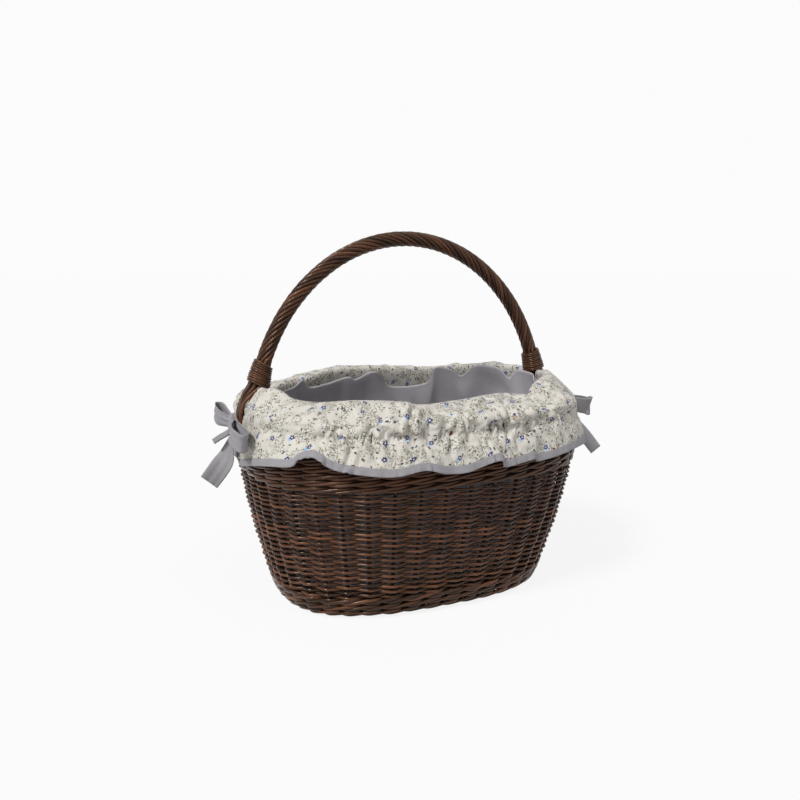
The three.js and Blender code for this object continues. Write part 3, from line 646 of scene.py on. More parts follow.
# %% Base frame
HOOP_HEIGHT = 8 * MM
HOOP_RADIUS = 4 * MM
HOOP_DEPTH = 18.1 * MM
STICK_LEVEL = 11.35 * MM
SLATH_PITCH = 19 * MM
SLATH_MARGIN = 13 * MM
LONG_STICKS = 3
CROSS_STICKS = 5
ARMS = 2 * (LONG_STICKS + CROSS_STICKS)
CROSS_STICK_RADIUS = 3.1 * MM
LONG_STICK_RADIUS = 2.5 * MM
slath_half = np.array([(CROSS_STICKS - 1) / 2, (LONG_STICKS - 1) / 2]) * SLATH_PITCH + SLATH_MARGIN


def hoop_spot(share, height):
    spot = on_wall(share, 2 * MM, HOOP_DEPTH)
    spot[..., 2] = height
    return spot


def arm_inner(arm):
    """Where an arm leaves the crossed middle. Arms are counted anticlockwise from +X."""
    middle_long, middle_cross = (LONG_STICKS - 1) // 2, (CROSS_STICKS - 1) // 2
    counts = [(1, 0, n) for n in range(middle_long + 1)]
    counts += [(0, 1, middle_cross - n) for n in range(CROSS_STICKS)]
    counts += [(-1, 0, middle_long - n) for n in range(LONG_STICKS)]
    counts += [(0, -1, n - middle_cross) for n in range(CROSS_STICKS)]
    counts += [(1, 0, n - middle_long) for n in range(middle_long)]
    x_side, y_side, n = counts[arm % ARMS]
    if x_side:
        return np.array([x_side * slath_half[0], n * SLATH_PITCH, STICK_LEVEL])
    return np.array([n * SLATH_PITCH, y_side * slath_half[1], STICK_LEVEL])


def arm_outer(arm):
    return hoop_spot(np.array(arm / ARMS), STICK_LEVEL)


hoop = Work()
hoop_shares = np.linspace(0, 1, 161)
hoop_path = hoop_spot(hoop_shares, HOOP_HEIGHT / 2)
hoop.rod(hoop_path, HOOP_RADIUS, outward(hoop_shares, 0 * hoop_shares), 300, sides=12)
for places in hoop.places:
    np.clip(places[:, 2], 0.35 * MM, HOOP_HEIGHT, out=places[:, 2])
hoop.piece("hoop", ["base_hoop"], "willow", dark_willow)

up = np.array([0, 0, 1.0])
# first arm of the first stick, and the sum of the two arms that every stick of its kind ends in
first_long, first_cross = -((LONG_STICKS - 1) // 2), (LONG_STICKS + 1) // 2
for kind, count, first_arm, both_arms, radius, flatness, first_number in (
    ("long", LONG_STICKS, first_long, ARMS // 2, LONG_STICK_RADIUS, 0.64, 320),
    ("cross", CROSS_STICKS, first_cross, ARMS, CROSS_STICK_RADIUS, 0.95, 330),
):
    sticks = Work()
    for n in range(count):
        near = first_arm + n
        far = both_arms - near
        path = smooth_path([arm_outer(near), arm_inner(near), arm_inner(far), arm_outer(far)], 10)
        sticks.rod(path, radius, up, first_number + n, flatness=flatness)
    nodes = [f"{kind}_base_stick_{n + 1}" for n in range(count)]
    sticks.piece(f"{kind}_sticks", nodes, "pale_willow", brown_willow)

# %% Base weaving
BASE_ROWS = 12
BASE_ROD_RADIUS = 1.8 * MM
BASE_REACH = 4.6 * MM

for order in range(2):
    points = []
    rows = BASE_ROWS / 2
    for i in range(int(rows * ARMS) + 1):
        arm = i + order * ARMS // 2
        inner, outer = arm_inner(arm), arm_outer(arm % ARMS)
        along = outer - inner
        room = np.linalg.norm(along) - HOOP_RADIUS - BASE_ROD_RADIUS - 1 * MM
        travelled = 3 * MM + (room - 3 * MM) * i / (rows * ARMS)
        swing = 1 if (i + order) % 2 == 0 else -1
        points.append(inner + along / np.linalg.norm(along) * travelled + up * swing * BASE_REACH)
    chaser = Work()
    chaser.rod(smooth_path(points, 6), BASE_ROD_RADIUS, up, 340 + order)
    chaser.piece(f"base_weaving_{order + 1}", [f"base_weaver_{order + 1}"], "willow", dark_willow)

# %% [markdown]
# ## Handle
# One stout rod is pushed down inside the wall at both ends and makes the arch. Thinner rods
# are laid round it like the strands of a rope, and a wound rod binds them at each foot.
# Below the bindings the outer strands go on over the border as a flat bundle and down its
# outside, where the ribbons tie them down. The arch is half an ellipse, measured along its
# length so that the rope turns evenly, and its feet are held together a little by the border.

# %% Handle shape
SPRING_HEIGHT = 206 * MM
BOW_TOP = 434 * MM
BOW_DEPTH = 17.85 * MM
BOW_FOOT = 120 * MM
BOW_GUIDE = 163 * MM
CORE_RADIUS = 4.9 * MM
CORE_FOOT_RADIUS = 3.8 * MM
STRAND_RADIUS = 2.25 * MM
STRANDS = 10
STRAND_TURNS = 5.0
BINDING_BOTTOM = 262 * MM
BINDING_TOP = 291 * MM
FRONT = np.array([0, -1.0, 0])

bow_half = SHOULDER_HALF[0] - BOW_DEPTH
bow_rise = BOW_TOP - SPRING_HEIGHT
slot_half = on_wall(np.array(0.0), BORDER_MIDDLE, BOW_DEPTH)[0]
JOIN_HEIGHT = SPRING_HEIGHT + bow_rise * math.sqrt(1 - (slot_half / bow_half) ** 2)


def arch_spot(angle):
    """A point of the half ellipse, from its left foot at 0 to its right foot at half a turn."""
    return np.stack([-bow_half * np.cos(angle), 0 * angle, SPRING_HEIGHT + bow_rise * np.sin(angle)], -1)


arch_angles = np.linspace(0, math.pi, 2001)
arch_points = arch_spot(arch_angles)
arch_way = np.concatenate([[0], np.cumsum(np.linalg.norm(np.diff(arch_points, axis=0), axis=1))])
ARCH_LENGTH = arch_way[-1]


def arch(way):
    """Middle, direction and outward side of the handle at distances along it."""
    way = np.asarray(way)
    angle = np.interp(way, arch_way, arch_angles)
    along = unit(np.stack([bow_half * np.sin(angle), 0 * angle, bow_rise * np.cos(angle)], -1))
    return arch_spot(angle), along, np.stack([-along[..., 2], 0 * angle, along[..., 0]], -1)


def way_at(height):
    return float(np.interp(height, arch_points[:1001, 2], arch_way[:1001]))


low_way, high_way = way_at(BINDING_BOTTOM), way_at(BINDING_TOP)
join_way = way_at(JOIN_HEIGHT)
print(f"handle arch {ARCH_LENGTH:.3f} m, bindings from {low_way:.3f} to {high_way:.3f} m along it")

# %% Handle core
core_feet = on_wall(np.array([0.5, 0.5]), np.array([BOW_FOOT, BOW_GUIDE]), BOW_DEPTH)
core_slot = np.array([[-slot_half, 0, SPRING_HEIGHT], [-slot_half, 0, RIM_HEIGHT]])
core_feet = np.concatenate([core_feet, core_slot])
core_arch = arch(np.linspace(join_way, ARCH_LENGTH - join_way, 90))[0]
mirrored = core_feet[::-1] * np.array([-1, 1, 1])
core = Work()
core_path = np.concatenate([core_feet, core_arch, mirrored])
core_radius = np.where(core_path[:, 2] > JOIN_HEIGHT, CORE_RADIUS, CORE_FOOT_RADIUS)
core.rod(core_path, core_radius, FRONT, 400, sides=10)
core.piece("handle_core", ["bow_core"], "willow", dark_willow)

# %% Handle strands
STRAND_ORBIT = 7.05 * MM
BINDING_SWELL = 3.0 * MM
TAIL_PITCH = 4.9 * MM
TAIL_OVER = np.array([210, 242]) * MM
TAIL_OUTSIDE = 213.5 * MM
INNER_TAIL = 14 * MM
INNER_SIDE = -0.35
TAIL_SPREAD = 2.2
TAIL_DROP = 11 * MM


def strand_turn(number, way):
    twisted = np.clip((way - high_way) / (ARCH_LENGTH - 2 * high_way), 0, 1)
    return (number + 0.5) / STRANDS * 2 * math.pi + twisted * STRAND_TURNS * 2 * math.pi


def strand_orbit(way):
    from_end = np.minimum(way, ARCH_LENGTH - way)
    return STRAND_ORBIT + BINDING_SWELL * np.clip((high_way - from_end) / (high_way - low_way), 0, 1)


def strand_path(number):
    way = np.linspace(low_way, ARCH_LENGTH - low_way, 240)
    middle, along, out = arch(way)
    turn = strand_turn(number, way)[:, None]
    radial = out * np.cos(turn) + FRONT * np.sin(turn)
    return middle + radial * strand_orbit(way)[:, None], radial


def strand_tail(number, end):
    """The way down from the binding: outer strands over the border, inner ones just under it."""
    turn = (number + 0.5) / STRANDS * 2 * math.pi
    spots, radials = strand_path(number)
    start = spots[0] if end < 0 else spots[-1]
    if math.cos(turn) < INNER_SIDE:
        return [start - up * INNER_TAIL + np.array([end * 5 * MM, 0, 0])]
    row = -math.sin(turn) * TAIL_SPREAD * TAIL_PITCH
    over = [end * TAIL_OVER[0], row * 0.8, TAIL_OVER[1]]
    outside = [end * TAIL_OUTSIDE, row * 0.66, BORDER_MIDDLE + 1 * MM]
    last = [end * TAIL_OUTSIDE, row * 0.6, BORDER_MIDDLE - TAIL_DROP]
    middle = 0.5 * start + 0.5 * np.array(over) + np.array([end * 1.5 * MM, 0, 1 * MM])
    return [middle, over, outside, last]


for number in range(STRANDS):
    spots, radials = strand_path(number)
    left, right = strand_tail(number, -1), strand_tail(number, 1)
    left_path = smooth_path([spots[0], *left], 5)[1:][::-1]
    right_path = smooth_path([spots[-1], *right], 5)[1:]
    path = np.concatenate([left_path, spots, right_path])
    left_side = np.repeat(radials[:1], len(left_path), 0)
    right_side = np.repeat(radials[-1:], len(right_path), 0)
    side = np.concatenate([left_side, radials, right_side])
    strand = Work()
    size = STRAND_RADIUS * (1 + 0.05 * wander(np.arange(len(path)) / 20, 500 + number))
    strand.rod(path, size, side, 410 + number, flatness=0.95)
    node = f"bow_strand_{number % 6 + 1}"
    slot, finish = (("willow", dark_willow), ("pale_willow", brown_willow))[number % 2]
    strand.piece(f"handle_strand_{number + 1}", [node], slot, finish)

# %% Handle bindings
BINDING_TURNS = 9.5
BINDING_RADIUS = 1.42 * MM

for name, end, tilt in (("left_binding", -1, 3.2), ("right_binding", 1, 1.2)):
    part = np.linspace(0, 1, int(BINDING_TURNS * 28))
    way = low_way + (0.1 + 0.8 * part) * (high_way - low_way)
    turn = part * BINDING_TURNS * 2 * math.pi
    way = way + (tilt * np.cos(turn) + 0.5 * wander(part * 19, 610 + end)) * MM
    middle, along, out = arch(way if end < 0 else ARCH_LENGTH - way)
    radius = strand_orbit(way) + STRAND_RADIUS + BINDING_RADIUS * 0.9
    radius = radius * (1 + 0.02 * wander(part * 2 * BINDING_TURNS, 600 + end))
    radial = out * np.cos(turn)[:, None] + FRONT * np.sin(turn)[:, None]
    binding = Work()
    binding.rod(middle + radial * radius[:, None], BINDING_RADIUS, radial, 430 + end)
    binding.piece(f"wound_{name}", [name], "willow", dark_willow)

# %% [markdown]
# ## Liner finishes
# The liner is cotton. Plain grey is used for the lining, its tape for the hem and the bows,
# and the frill is a cream print of small sprigs. The lining is the same grey cloth as the tape,
# but its colour is painted lighter: painted light for the light missing in the shade inside the mouth.
# A plain weave shows as fine threads crossing, which only the light picks out, so it is a bump of
# two crossed waves.

# %% Plain cotton
THREAD = 0.9 * MM


def threads(along, across):
    """The relief of a plain weave: two crossed waves."""
    first, second = ((place * (2 * math.pi / THREAD)).maths("SINE") for place in (along, across))
    return first * 0.5 + second * 0.5


def cotton(name, colour, deep):
    finish = Finish(bpy.data.materials.new(name))
    along, across = finish.uv(0), finish.uv(1)
    place = finish.vector(along, across)
    mottled = finish.noise(place, 35.0, 3.0)
    slub = finish.noise(finish.vector(along * 30, across * 900), 1.0, 2.0)
    shade = mottled * 0.6 + slub * 0.4
    return finish.surface(
        Base_Color=finish.blend(shade.fade(0.25, 0.75), deep, colour),
        Roughness=0.82 + mottled * 0.1,
        Specular_IOR_Level=0.25,
        Sheen_Weight=0.12,
        Normal=finish.bump(threads(along, across) + slub * 0.6, 0.06 * MM),
    )


# painted light: the lining's grey is written lighter than the tape's, though it is the same cloth, to stand
# in for light in the shade inside the mouth
grey_lining_painted_lighter = cotton("grey_lining_painted_lighter", (0.52, 0.503, 0.53), (0.44, 0.425, 0.45))
grey_tape = cotton("grey_tape", (0.335, 0.322, 0.34), (0.285, 0.274, 0.292))
print("plain cotton ready")

# %% [markdown]
# ## Sprig print
# The print is small and all over: clusters of fine twigs and leaves, tiny dark buds, and
# here and there a dark blue flower with a pale eye and a light blue one behind it. Cells of
# a Voronoi texture scatter a motif with no two alike: the distance to a cell's point draws
# a round motif, the angle round it makes petals, and a random number for each cell chooses
# its colour or leaves it out. A broad rumple in the relief stands for the smallest creases.

# %% Sprig print
FLOWER_SPACING = 31 * MM


def scattered(finish, along, across, spacing, seed):
    """Metres to the nearest scattered point, the angle round it, and its two random numbers."""
    place = finish.vector(along / spacing + seed, across / spacing + 0.37 * seed)
    cell = {"voronoi_dimensions": "2D", "feature": "F1"}
    sockets = {"Vector": place, "Scale": 1.0, "Randomness": 0.85}
    outputs = ("Distance", "Color", "Position")
    distance, colour, centre = (finish.add("ShaderNodeTexVoronoi", cell, sockets, name) for name in outputs)
    apart = finish.add("ShaderNodeVectorMath", {"operation": "SUBTRACT"}, {0: place, 1: centre})
    x, y = (finish.add("ShaderNodeSeparateXYZ", {}, {0: apart}, i) for i in (0, 1))
    chances = [finish.add("ShaderNodeSeparateColor", {}, {0: colour}, i) for i in (0, 1)]
    return distance * spacing, y.maths("ARCTAN2", x), chances


def petals(distance, angle, radius, count, chance):
    """1 inside a flower of that radius and number of petals."""
    wave = (angle * (count / 2) + chance * 6.28).maths("SINE")
    edge = radius * (0.62 + 0.38 * wave.maths("ABSOLUTE"))
    return 1 - (distance - edge).fade(-0.15 * MM, 0.15 * MM)


def sprig_print(name):
    finish = Finish(bpy.data.materials.new(name))
    along, across = finish.uv(0), finish.uv(1)
    flat = finish.vector(along, across)
    warp = [finish.noise(flat, 260.0, 1.0), finish.noise(finish.vector(across, along), 240.0, 1.0)]
    wavy_along = along + (warp[0] - 0.5) * (5 * MM)
    wavy_across = across + (warp[1] - 0.5) * (5 * MM)
    mottled = finish.noise(flat, 30.0, 2.0)
    colour = finish.blend(mottled, (0.61, 0.58, 0.525), (0.71, 0.68, 0.62))

    cluster = finish.noise(flat, 62.0, 1.0).fade(0.43, 0.55)
    stems = finish.vector(wavy_along / (3.4 * MM), wavy_across / (4.6 * MM))
    edge_cell = {"voronoi_dimensions": "2D", "feature": "DISTANCE_TO_EDGE"}
    gap = finish.add("ShaderNodeTexVoronoi", edge_cell, {"Vector": stems, "Scale": 1.0}) * (4 * MM)
    broken = finish.noise(flat, 420.0, 1.0).fade(0.42, 0.55)
    stem = (1 - gap.fade(0.16 * MM, 0.56 * MM)) * broken * cluster
    colour = finish.blend(stem * 0.85, colour, (0.13, 0.115, 0.07))

    in_clusters = 0.05 + cluster * 0.85
    for spacing, size, count, seed, keep, strength, tint in (
        (2.3, 0.68, 2, 3.0, 0.7, in_clusters, (0.19, 0.18, 0.115)),
        (3.3, 0.7, 2, 11.0, 0.55, in_clusters, (0.13, 0.115, 0.08)),
        (8.0, 1.3, 4, 23.0, 0.5, 0.9, (0.022, 0.02, 0.028)),
        (21.0, 1.2, 4, 31.0, 0.4, 0.9, (0.36, 0.19, 0.07)),
        (19.0, 1.7, 4, 47.0, 0.4, 0.9, (0.05, 0.035, 0.12)),
    ):
        distance, angle, chances = scattered(finish, wavy_along, wavy_across, spacing * MM, seed)
        motif = petals(distance, angle, size * MM, count, chances[1]) * (chances[0] < keep)
        colour = finish.blend(motif * strength, colour, tint)

    for shift, size, keep, tint in (
        (2.4 * MM, 2.1, 0.5, (0.30, 0.46, 0.72)),
        (0, 3.0, 0.9, (0.022, 0.026, 0.16)),
    ):
        distance, angle, chances = scattered(finish, along + shift, across - shift, FLOWER_SPACING, 41.0)
        kept = chances[0] < keep
        flower = petals(distance, angle, size * MM, 5, chances[1]) * kept
        colour = finish.blend(flower * 0.92, colour, tint)
    eye = (1 - distance.fade(0.6 * MM, 0.95 * MM)) * kept
    colour = finish.blend(eye, colour, (0.78, 0.77, 0.72))
    slub = finish.noise(finish.vector(along * 40, across * 1100), 1.0, 2.0)
    rumple = finish.noise(finish.vector(along * 1.6, across), 62.0, 2.0)
    weave = finish.bump(threads(along, across) + slub * 0.7, 0.06 * MM)
    return finish.surface(
        Base_Color=colour,
        Roughness=0.88,
        Specular_IOR_Level=0.2,
        Sheen_Weight=0.08,
        Normal=finish.bump(rumple, 2.2 * MM, Normal=weave),
    )


floral = sprig_print("sprig_print")
print("print ready")

# %% [markdown]
# ## Lining
# The lining is a bag of grey cotton that hangs inside the wall. It has far more cloth than
# the wall is long, so it lies in broad upright folds, and at the back some of them stand up
# over the frill's inner band. It is one sheet: its depth inside the wall swings with the
# folds, and its top edge, a line through a few heights, rises where a fold stands up.

# %% Lining wall
LINING_FLOOR_LEVEL = 21.6 * MM
LINING_TOP = 240 * MM
LINING_DEPTH = 16 * MM
CREST_INSET_ENDS = 9.7 * MM
CREST_INSET_SIDES = 32 * MM
MOUTH_BEHIND_CREST = 9 * MM
MOUTH_INSET_ENDS = 21.5 * MM
STANDING_FOLD = 20 * MM
BROAD_FOLDS = 19
NARROW_FOLDS = 47
FINE_FOLDS = 70
CLOTH = 0.9 * MM


def mouth_inset(share):
    ends = near_ends(share)
    return (CREST_INSET_SIDES + MOUTH_BEHIND_CREST) * (1 - ends) + MOUTH_INSET_ENDS * ends


def crest_inset(share):
    ends = near_ends(share)
    return CREST_INSET_SIDES * (1 - ends) + CREST_INSET_ENDS * ends


def ease(x, start, end):
    part = np.clip((x - start) / (end - start), 0, 1)
    return part * part * (3 - 2 * part)


def flat_lengths(places):
    """UV in metres over a sheet of places: the mean way along its rows and down its columns."""
    across = np.linalg.norm(np.diff(places, axis=1), axis=2).mean(axis=0)
    down = np.linalg.norm(np.diff(places, axis=0), axis=2).mean(axis=1)
    u = np.concatenate([[0], np.cumsum(across)])
    v = np.concatenate([[0], np.cumsum(down)])
    return np.stack(np.meshgrid(u, v), axis=-1)


def flat_size(places):
    return tuple(float(x) for x in flat_lengths(places)[-1, -1])


LINING_EDGE = (
    (-0.05, 262), (0, 264), (0.029, 249), (0.045, 262), (0.083, 263), (0.113, 248), (0.134, 257),
    (0.16, 259), (0.173, 236), (0.223, 233), (0.246, 257), (0.27, 247), (0.282, 251), (0.311, 243),
    (0.337, 241), (0.354, 252), (0.37, 243), (0.42, 239), (0.5, 239), (0.64, 237), (0.8, 238),
    (0.92, 242), (0.95, 262), (1, 264),
)


def line(share, points):
    """A smooth line through a short list of shares of the way round and millimetres."""
    smooth = smooth_path(points, 12)
    return np.interp(share, smooth[:, 0], smooth[:, 1]) * MM


# The folds' sizes are in mm. The hanging cloth turns into the drawn-in edge over its upper half.
share = np.linspace(0, 1, 561)[None, :]
level = np.linspace(0, 1, 80)[:, None]
top = line(share, LINING_EDGE)
height = LINING_FLOOR_LEVEL + (top - LINING_FLOOR_LEVEL) * level
slant = 0.012 * (level - 1) * wander(share * 9, 5, 9)
standing = (line(share + slant, LINING_EDGE) - LINING_TOP) / STANDING_FOLD
slow_sway = 0.25 * wander(level * 3 + 0 * share, 5)
broad = wander((share + slant) * BROAD_FOLDS + slow_sway, 31, BROAD_FOLDS)
narrow = wander((share - 2 * slant) * NARROW_FOLDS, 32, NARROW_FOLDS)
fine = wander_field(share * FINE_FOLDS + 1.2 * level, level * 5 + 0 * share, 33, FINE_FOLDS)
drawn = ease(level, 0.5, 1)
folded = np.minimum(1, level * 3) * (1 - 0.15 * drawn)
hang = LINING_DEPTH + (8 + 8 * broad + 2.5 * narrow + 1.6 * fine) * MM * folded
edge_depth = mouth_inset(share) + (4 + 4 * standing + 2 * narrow + 1.5 * broad + 0.6 * fine) * MM
pleats = (4 * narrow + 5 * broad) * MM * drawn * (1 - ease(level, 0.85, 1))
depth = hang * (1 - drawn) + edge_depth * drawn + pleats
lining_places = on_wall(share, height, depth)
lining_places[:, -1] = lining_places[:, 0]
lining = Work()
lining.grid(lining_places, flat_lengths(lining_places))
lining_piece = lining.piece("lining_bag", ["lining_wall"], "lining", grey_lining_painted_lighter, CLOTH)
print("lining cut to", [round(x, 3) for x in flat_size(lining_places)])

# %% Lining floor
FLOOR_RINGS = 26
FLOOR_DEPTH = 15 * MM
FLOOR_LEVEL = 20.6 * MM
ring_share = np.linspace(0, 1, 181)[None, :]
out = np.linspace(0, 1, FLOOR_RINGS)[:, None]
rim_spots = on_wall(ring_share, FLOOR_LEVEL, FLOOR_DEPTH)
floor_places = rim_spots * out[..., None]
floor_places[..., 2] = FLOOR_LEVEL + 0.5 * MM * wander_field(ring_share * 24, out * 5, 35, 24)
floor_places[:, -1] = floor_places[:, 0]
bag_floor = Work()
bag_floor.grid(floor_places, floor_places[..., :2])
bag_floor_piece = bag_floor.piece("bag_floor", ["lining_floor"], "lining", grey_lining_painted_lighter, CLOTH)
floor_size = tuple(float(2 * rim_spots[0, :, axis].max()) for axis in (0, 1))
print("lining floor cut to", [round(x, 3) for x in floor_size])

# %% [markdown]
# ## Frill
# The frill is sewn in two halves that meet at the feet of the handle. Each starts inside
# the mouth, rolls over the border, is drawn in by a shirring thread, and flares below it to
# a bound hem. A profile of a few points, smoothed, gives the roll, and its crest and its hem
# follow lines of their own round the basket. On it lie soft waves in the roll, puckers that
# run up and down from the shirring thread, wide flutes in the flare, and a few deep folds
# that the eye picks out, each along a line from one spot of the cloth to another.

# %% Frill lines
ROLL_HEIGHT = 241 * MM
SHIRRING_HEIGHT = 225 * MM
HEM_BAND = 8 * MM
TIGHT = 2.6 * MM
SPLIT = 33 * MM
LEFT_FRONT_SPLIT = 12 * MM
# shares of the way round, and heights of the crest and of the hem in mm
CREST_LINES = {
    "back": (
        (0, 264), (0.06, 265), (0.12, 261), (0.17, 258), (0.24, 262), (0.3, 263), (0.345, 254),
        (0.395, 250), (0.42, 241), (0.44, 236), (0.5, 236),
    ),
    "front": (
        (0.5, 262), (0.54, 263), (0.565, 256), (0.6, 254), (0.645, 257), (0.69, 255), (0.71, 250),
        (0.75, 252), (0.8, 256), (0.83, 253), (0.848, 248), (0.88, 261), (0.95, 265), (1, 264),
    ),
}
HEM_LINES = {
    "back": (
        (0, 187), (0.08, 189), (0.15, 184), (0.22, 190), (0.3, 185), (0.38, 191), (0.44, 184), (0.5, 172),
    ),
    "front": (
        (0.5, 168), (0.525, 176), (0.55, 183), (0.575, 189), (0.597, 193), (0.606, 202), (0.617, 204),
        (0.633, 193), (0.655, 187), (0.68, 184), (0.705, 189), (0.724, 183), (0.745, 183), (0.768, 191),
        (0.776, 190), (0.781, 183), (0.8, 186), (0.813, 188), (0.818, 184), (0.846, 187), (0.873, 189),
        (0.912, 187), (1, 187),
    ),
}
# both ends of each fold, by share of the way round and mm below the seam, its depth and its width
DEEP_FOLDS = (
    ((0.701, -40), (0.690, -2), 4.6, 3.4),
    ((0.797, -38), (0.782, -2), 4.4, 3.6),
    ((0.642, -32), (0.606, -12), 3.4, 5.0),
    ((0.659, -20), (0.666, 24), 3.8, 3.2),
    ((0.646, 8), (0.642, 28), 3.6, 3.0),
    ((0.834, -36), (0.822, -6), 4.0, 3.4),
    ((0.868, -32), (0.879, 4), 3.8, 3.4),
    ((0.737, -16), (0.729, 22), 3.6, 3.0),
    ((0.577, -14), (0.562, 6), 2.2, 4.5),
)


print("deep folds", len(DEEP_FOLDS))

# %% Folds


def crease(field):
    """Turns a smooth random field into cloth: rounded ridges with a sharper valley between."""
    return 2 * np.sqrt(field**2 + 0.006) - 0.8


def valley(along, down, start, end, width):
    """1 along a line between two spots on the cloth, falling off to its sides, with raised shoulders."""
    start, end = np.array(start), np.array(end)
    run = end - start
    part = np.clip(((along - start[0]) * run[0] + (down - start[1]) * run[1]) / (run @ run), 0, 1)
    far = np.hypot(along - start[0] - part * run[0], down - start[1] - part * run[1]) / width
    strong = 1 - 0.7 * (2 * part - 1) ** 4
    return strong * (np.exp(-(far**2)) - 0.45 * np.exp(-((far - 2.2) ** 2)))


print("a valley falls from", [round(float(valley(x, 0, (0, -5), (0, 5), 1)), 2) for x in (0, 1, 2)])

# %% Frill surface
FRILL_COLUMNS = 640
FRILL_ROWS = 96
KNOT_STEPS = 14
SEAM_KNOT = 6
LIFTED_FROM = 192 * MM
LIFTED_SPAN = 17 * MM
RIGHT_END = 0.075
BESIDE_RIGHT_END = (0.92, 0.06)
# how far apart the waves of each kind are, along and down the cloth, in mm
DRIFT_WAVES = (31, 17)
LARGE_WAVES = (25, 24)
MEDIUM_WAVES = (9.5, 19)
NARROW_WAVES = (3.4, 13)
FLUTE_WAVES = (17, 60)
# how far they move or stand out, in mm
DRIFT_REACH = 5
ROLL_RELIEF = 4.2
PUCKER_RELIEF = 4.4
FINE_PUCKER_RELIEF = 2.4
FLUTE_RELIEF = 2.8
THREAD_GROOVE = 1.2


def frill_sheet(half, share):
    """Places of one half of the frill, from inside the mouth down to the hem band."""
    right_end = np.exp(-((np.minimum(share, 1 - share) / RIGHT_END) ** 2))
    beside, reach = BESIDE_RIGHT_END
    right_end = np.maximum(right_end, np.exp(-(((share - beside) / reach) ** 2)))
    free = 1 - near_ends(share)
    loose = free * (1 - 0.9 * right_end)
    crest_line = line(share, CREST_LINES[half])
    hem_top = line(share, HEM_LINES[half]) + HEM_BAND
    lift = np.clip((hem_top - LIFTED_FROM) / LIFTED_SPAN, 0, 1)
    crest = crest_inset(share)
    roll_height = np.minimum(ROLL_HEIGHT, crest_line - 5 * MM)
    # The profile, as heights and depths inside the wall, from the inner band down to the hem.
    knots = [
        (LINING_TOP - 15 * MM + 0 * share, mouth_inset(share) - 3 * MM),
        (crest_line - 8 * MM, 0.5 * (mouth_inset(share) + crest) + 3 * MM * loose),
        (crest_line, crest),
        (crest_line - 3 * MM, 0.42 * crest),
        (roll_height, -TIGHT - 4.5 * MM * loose),
        (0.5 * (roll_height + SHIRRING_HEIGHT), -TIGHT - 4 * MM * loose),
        (SHIRRING_HEIGHT + 0 * share, -TIGHT - 0.4 * MM * loose),
        (SHIRRING_HEIGHT - 7 * MM + 0 * share, -TIGHT - 2.5 * MM * loose),
        (0.55 * SHIRRING_HEIGHT + 0.45 * hem_top, -TIGHT - 4 * MM * free),
        (hem_top, -TIGHT - 7 * MM * free - 4 * MM * lift),
    ]
    rows = smooth_path([np.stack(knot) for knot in knots], KNOT_STEPS)
    heights, depths = rows[:, 0], rows[:, 1]
    steps = np.hypot(np.diff(heights, axis=0), np.diff(depths, axis=0))
    way = np.concatenate([np.zeros((1, share.size)), np.cumsum(steps, axis=0)])
    even = np.linspace(0, 1, FRILL_ROWS)
    heights, depths = (
        np.stack([np.interp(even, way[:, i] / way[-1, i], row[:, i]) for i in range(share.size)], 1)
        for row in (heights, depths)
    )
    down = (even[:, None] * way[-1] - way[SEAM_KNOT * KNOT_STEPS]) / MM
    base = on_wall(share[None, :], heights, depths)
    normal = unit(np.cross(np.gradient(base, axis=1), np.gradient(base, axis=0)))
    facing = (normal * outward(share, heights[0])[None]).sum(axis=2)
    normal = normal * np.sign(facing[down.shape[0] // 2].mean())

    s = share[None, :] * WAY_ROUND / MM
    lively = ease(share, 0.585, 0.635) if half == "front" else 1 - ease(share, 0.37, 0.43)
    drift = DRIFT_REACH * wander_field(s / DRIFT_WAVES[0], down / DRIFT_WAVES[1] + 20, 71, 128)

    def waves(slant, drifting, apart, seed, period=128):
        """A random field over the cloth, whose waves slant down it and drift sideways."""
        sideways = s + slant * down + drifting * drift
        return wander_field(sideways / apart[0], down / apart[1] + 20, seed, period)

    large = crease(waves(0.8, 1, LARGE_WAVES, 72))
    medium = crease(waves(-0.35, 1, MEDIUM_WAVES, 73))
    narrow = crease(waves(0.2, 0.5, NARROW_WAVES, 74, 256))
    flute = waves(0, 0.2, FLUTE_WAVES, 76)
    # Waves on the roll, puckers round the seam, flutes below it. The left is calmer.
    quiet = 0.35 + 0.65 * lively
    on_roll = ease(down, -62, -40) * (1 - ease(down, -14, 2))
    at_seam = np.exp(-(((down + 1) / 8.5) ** 2))
    round_seam = np.exp(-(((down + 3) / 19) ** 2))
    below = ease(down, 2, 30)
    off = ROLL_RELIEF * large * on_roll * (0.4 + 0.6 * lively)
    off = off + PUCKER_RELIEF * medium * round_seam * lively + 0.8 * medium * on_roll * quiet
    off = off + FINE_PUCKER_RELIEF * narrow * at_seam * lively
    off = off + (FLUTE_RELIEF * flute + 0.9 * medium * (1 - ease(down, 22, 40))) * below * quiet
    off = off - THREAD_GROOVE * np.exp(-((down / 4) ** 2)) * lively
    for start, end, deep, width in DEEP_FOLDS if half == "front" else ():
        places = [(spot[0] * WAY_ROUND / MM, spot[1]) for spot in (start, end)]
        off = off - deep * valley(s + 0.5 * drift, down, *places, width)
    off = off * (1 - 0.7 * right_end)
    return base + normal * (off * MM)[..., None]


print("frill grid", FRILL_ROWS, "by", FRILL_COLUMNS)

# %% [markdown]
# ## Frill halves and their hem binding
# The hem is bound with folded grey tape. It follows the frill's lower edge exactly, so its
# grid starts from that edge and goes on down in the direction that the cloth was going.

# %% Frill and hem
HEM_THICKNESS = 1.9 * MM
HEM_ROWS = 7
HEM_OVERLAP = 0.06

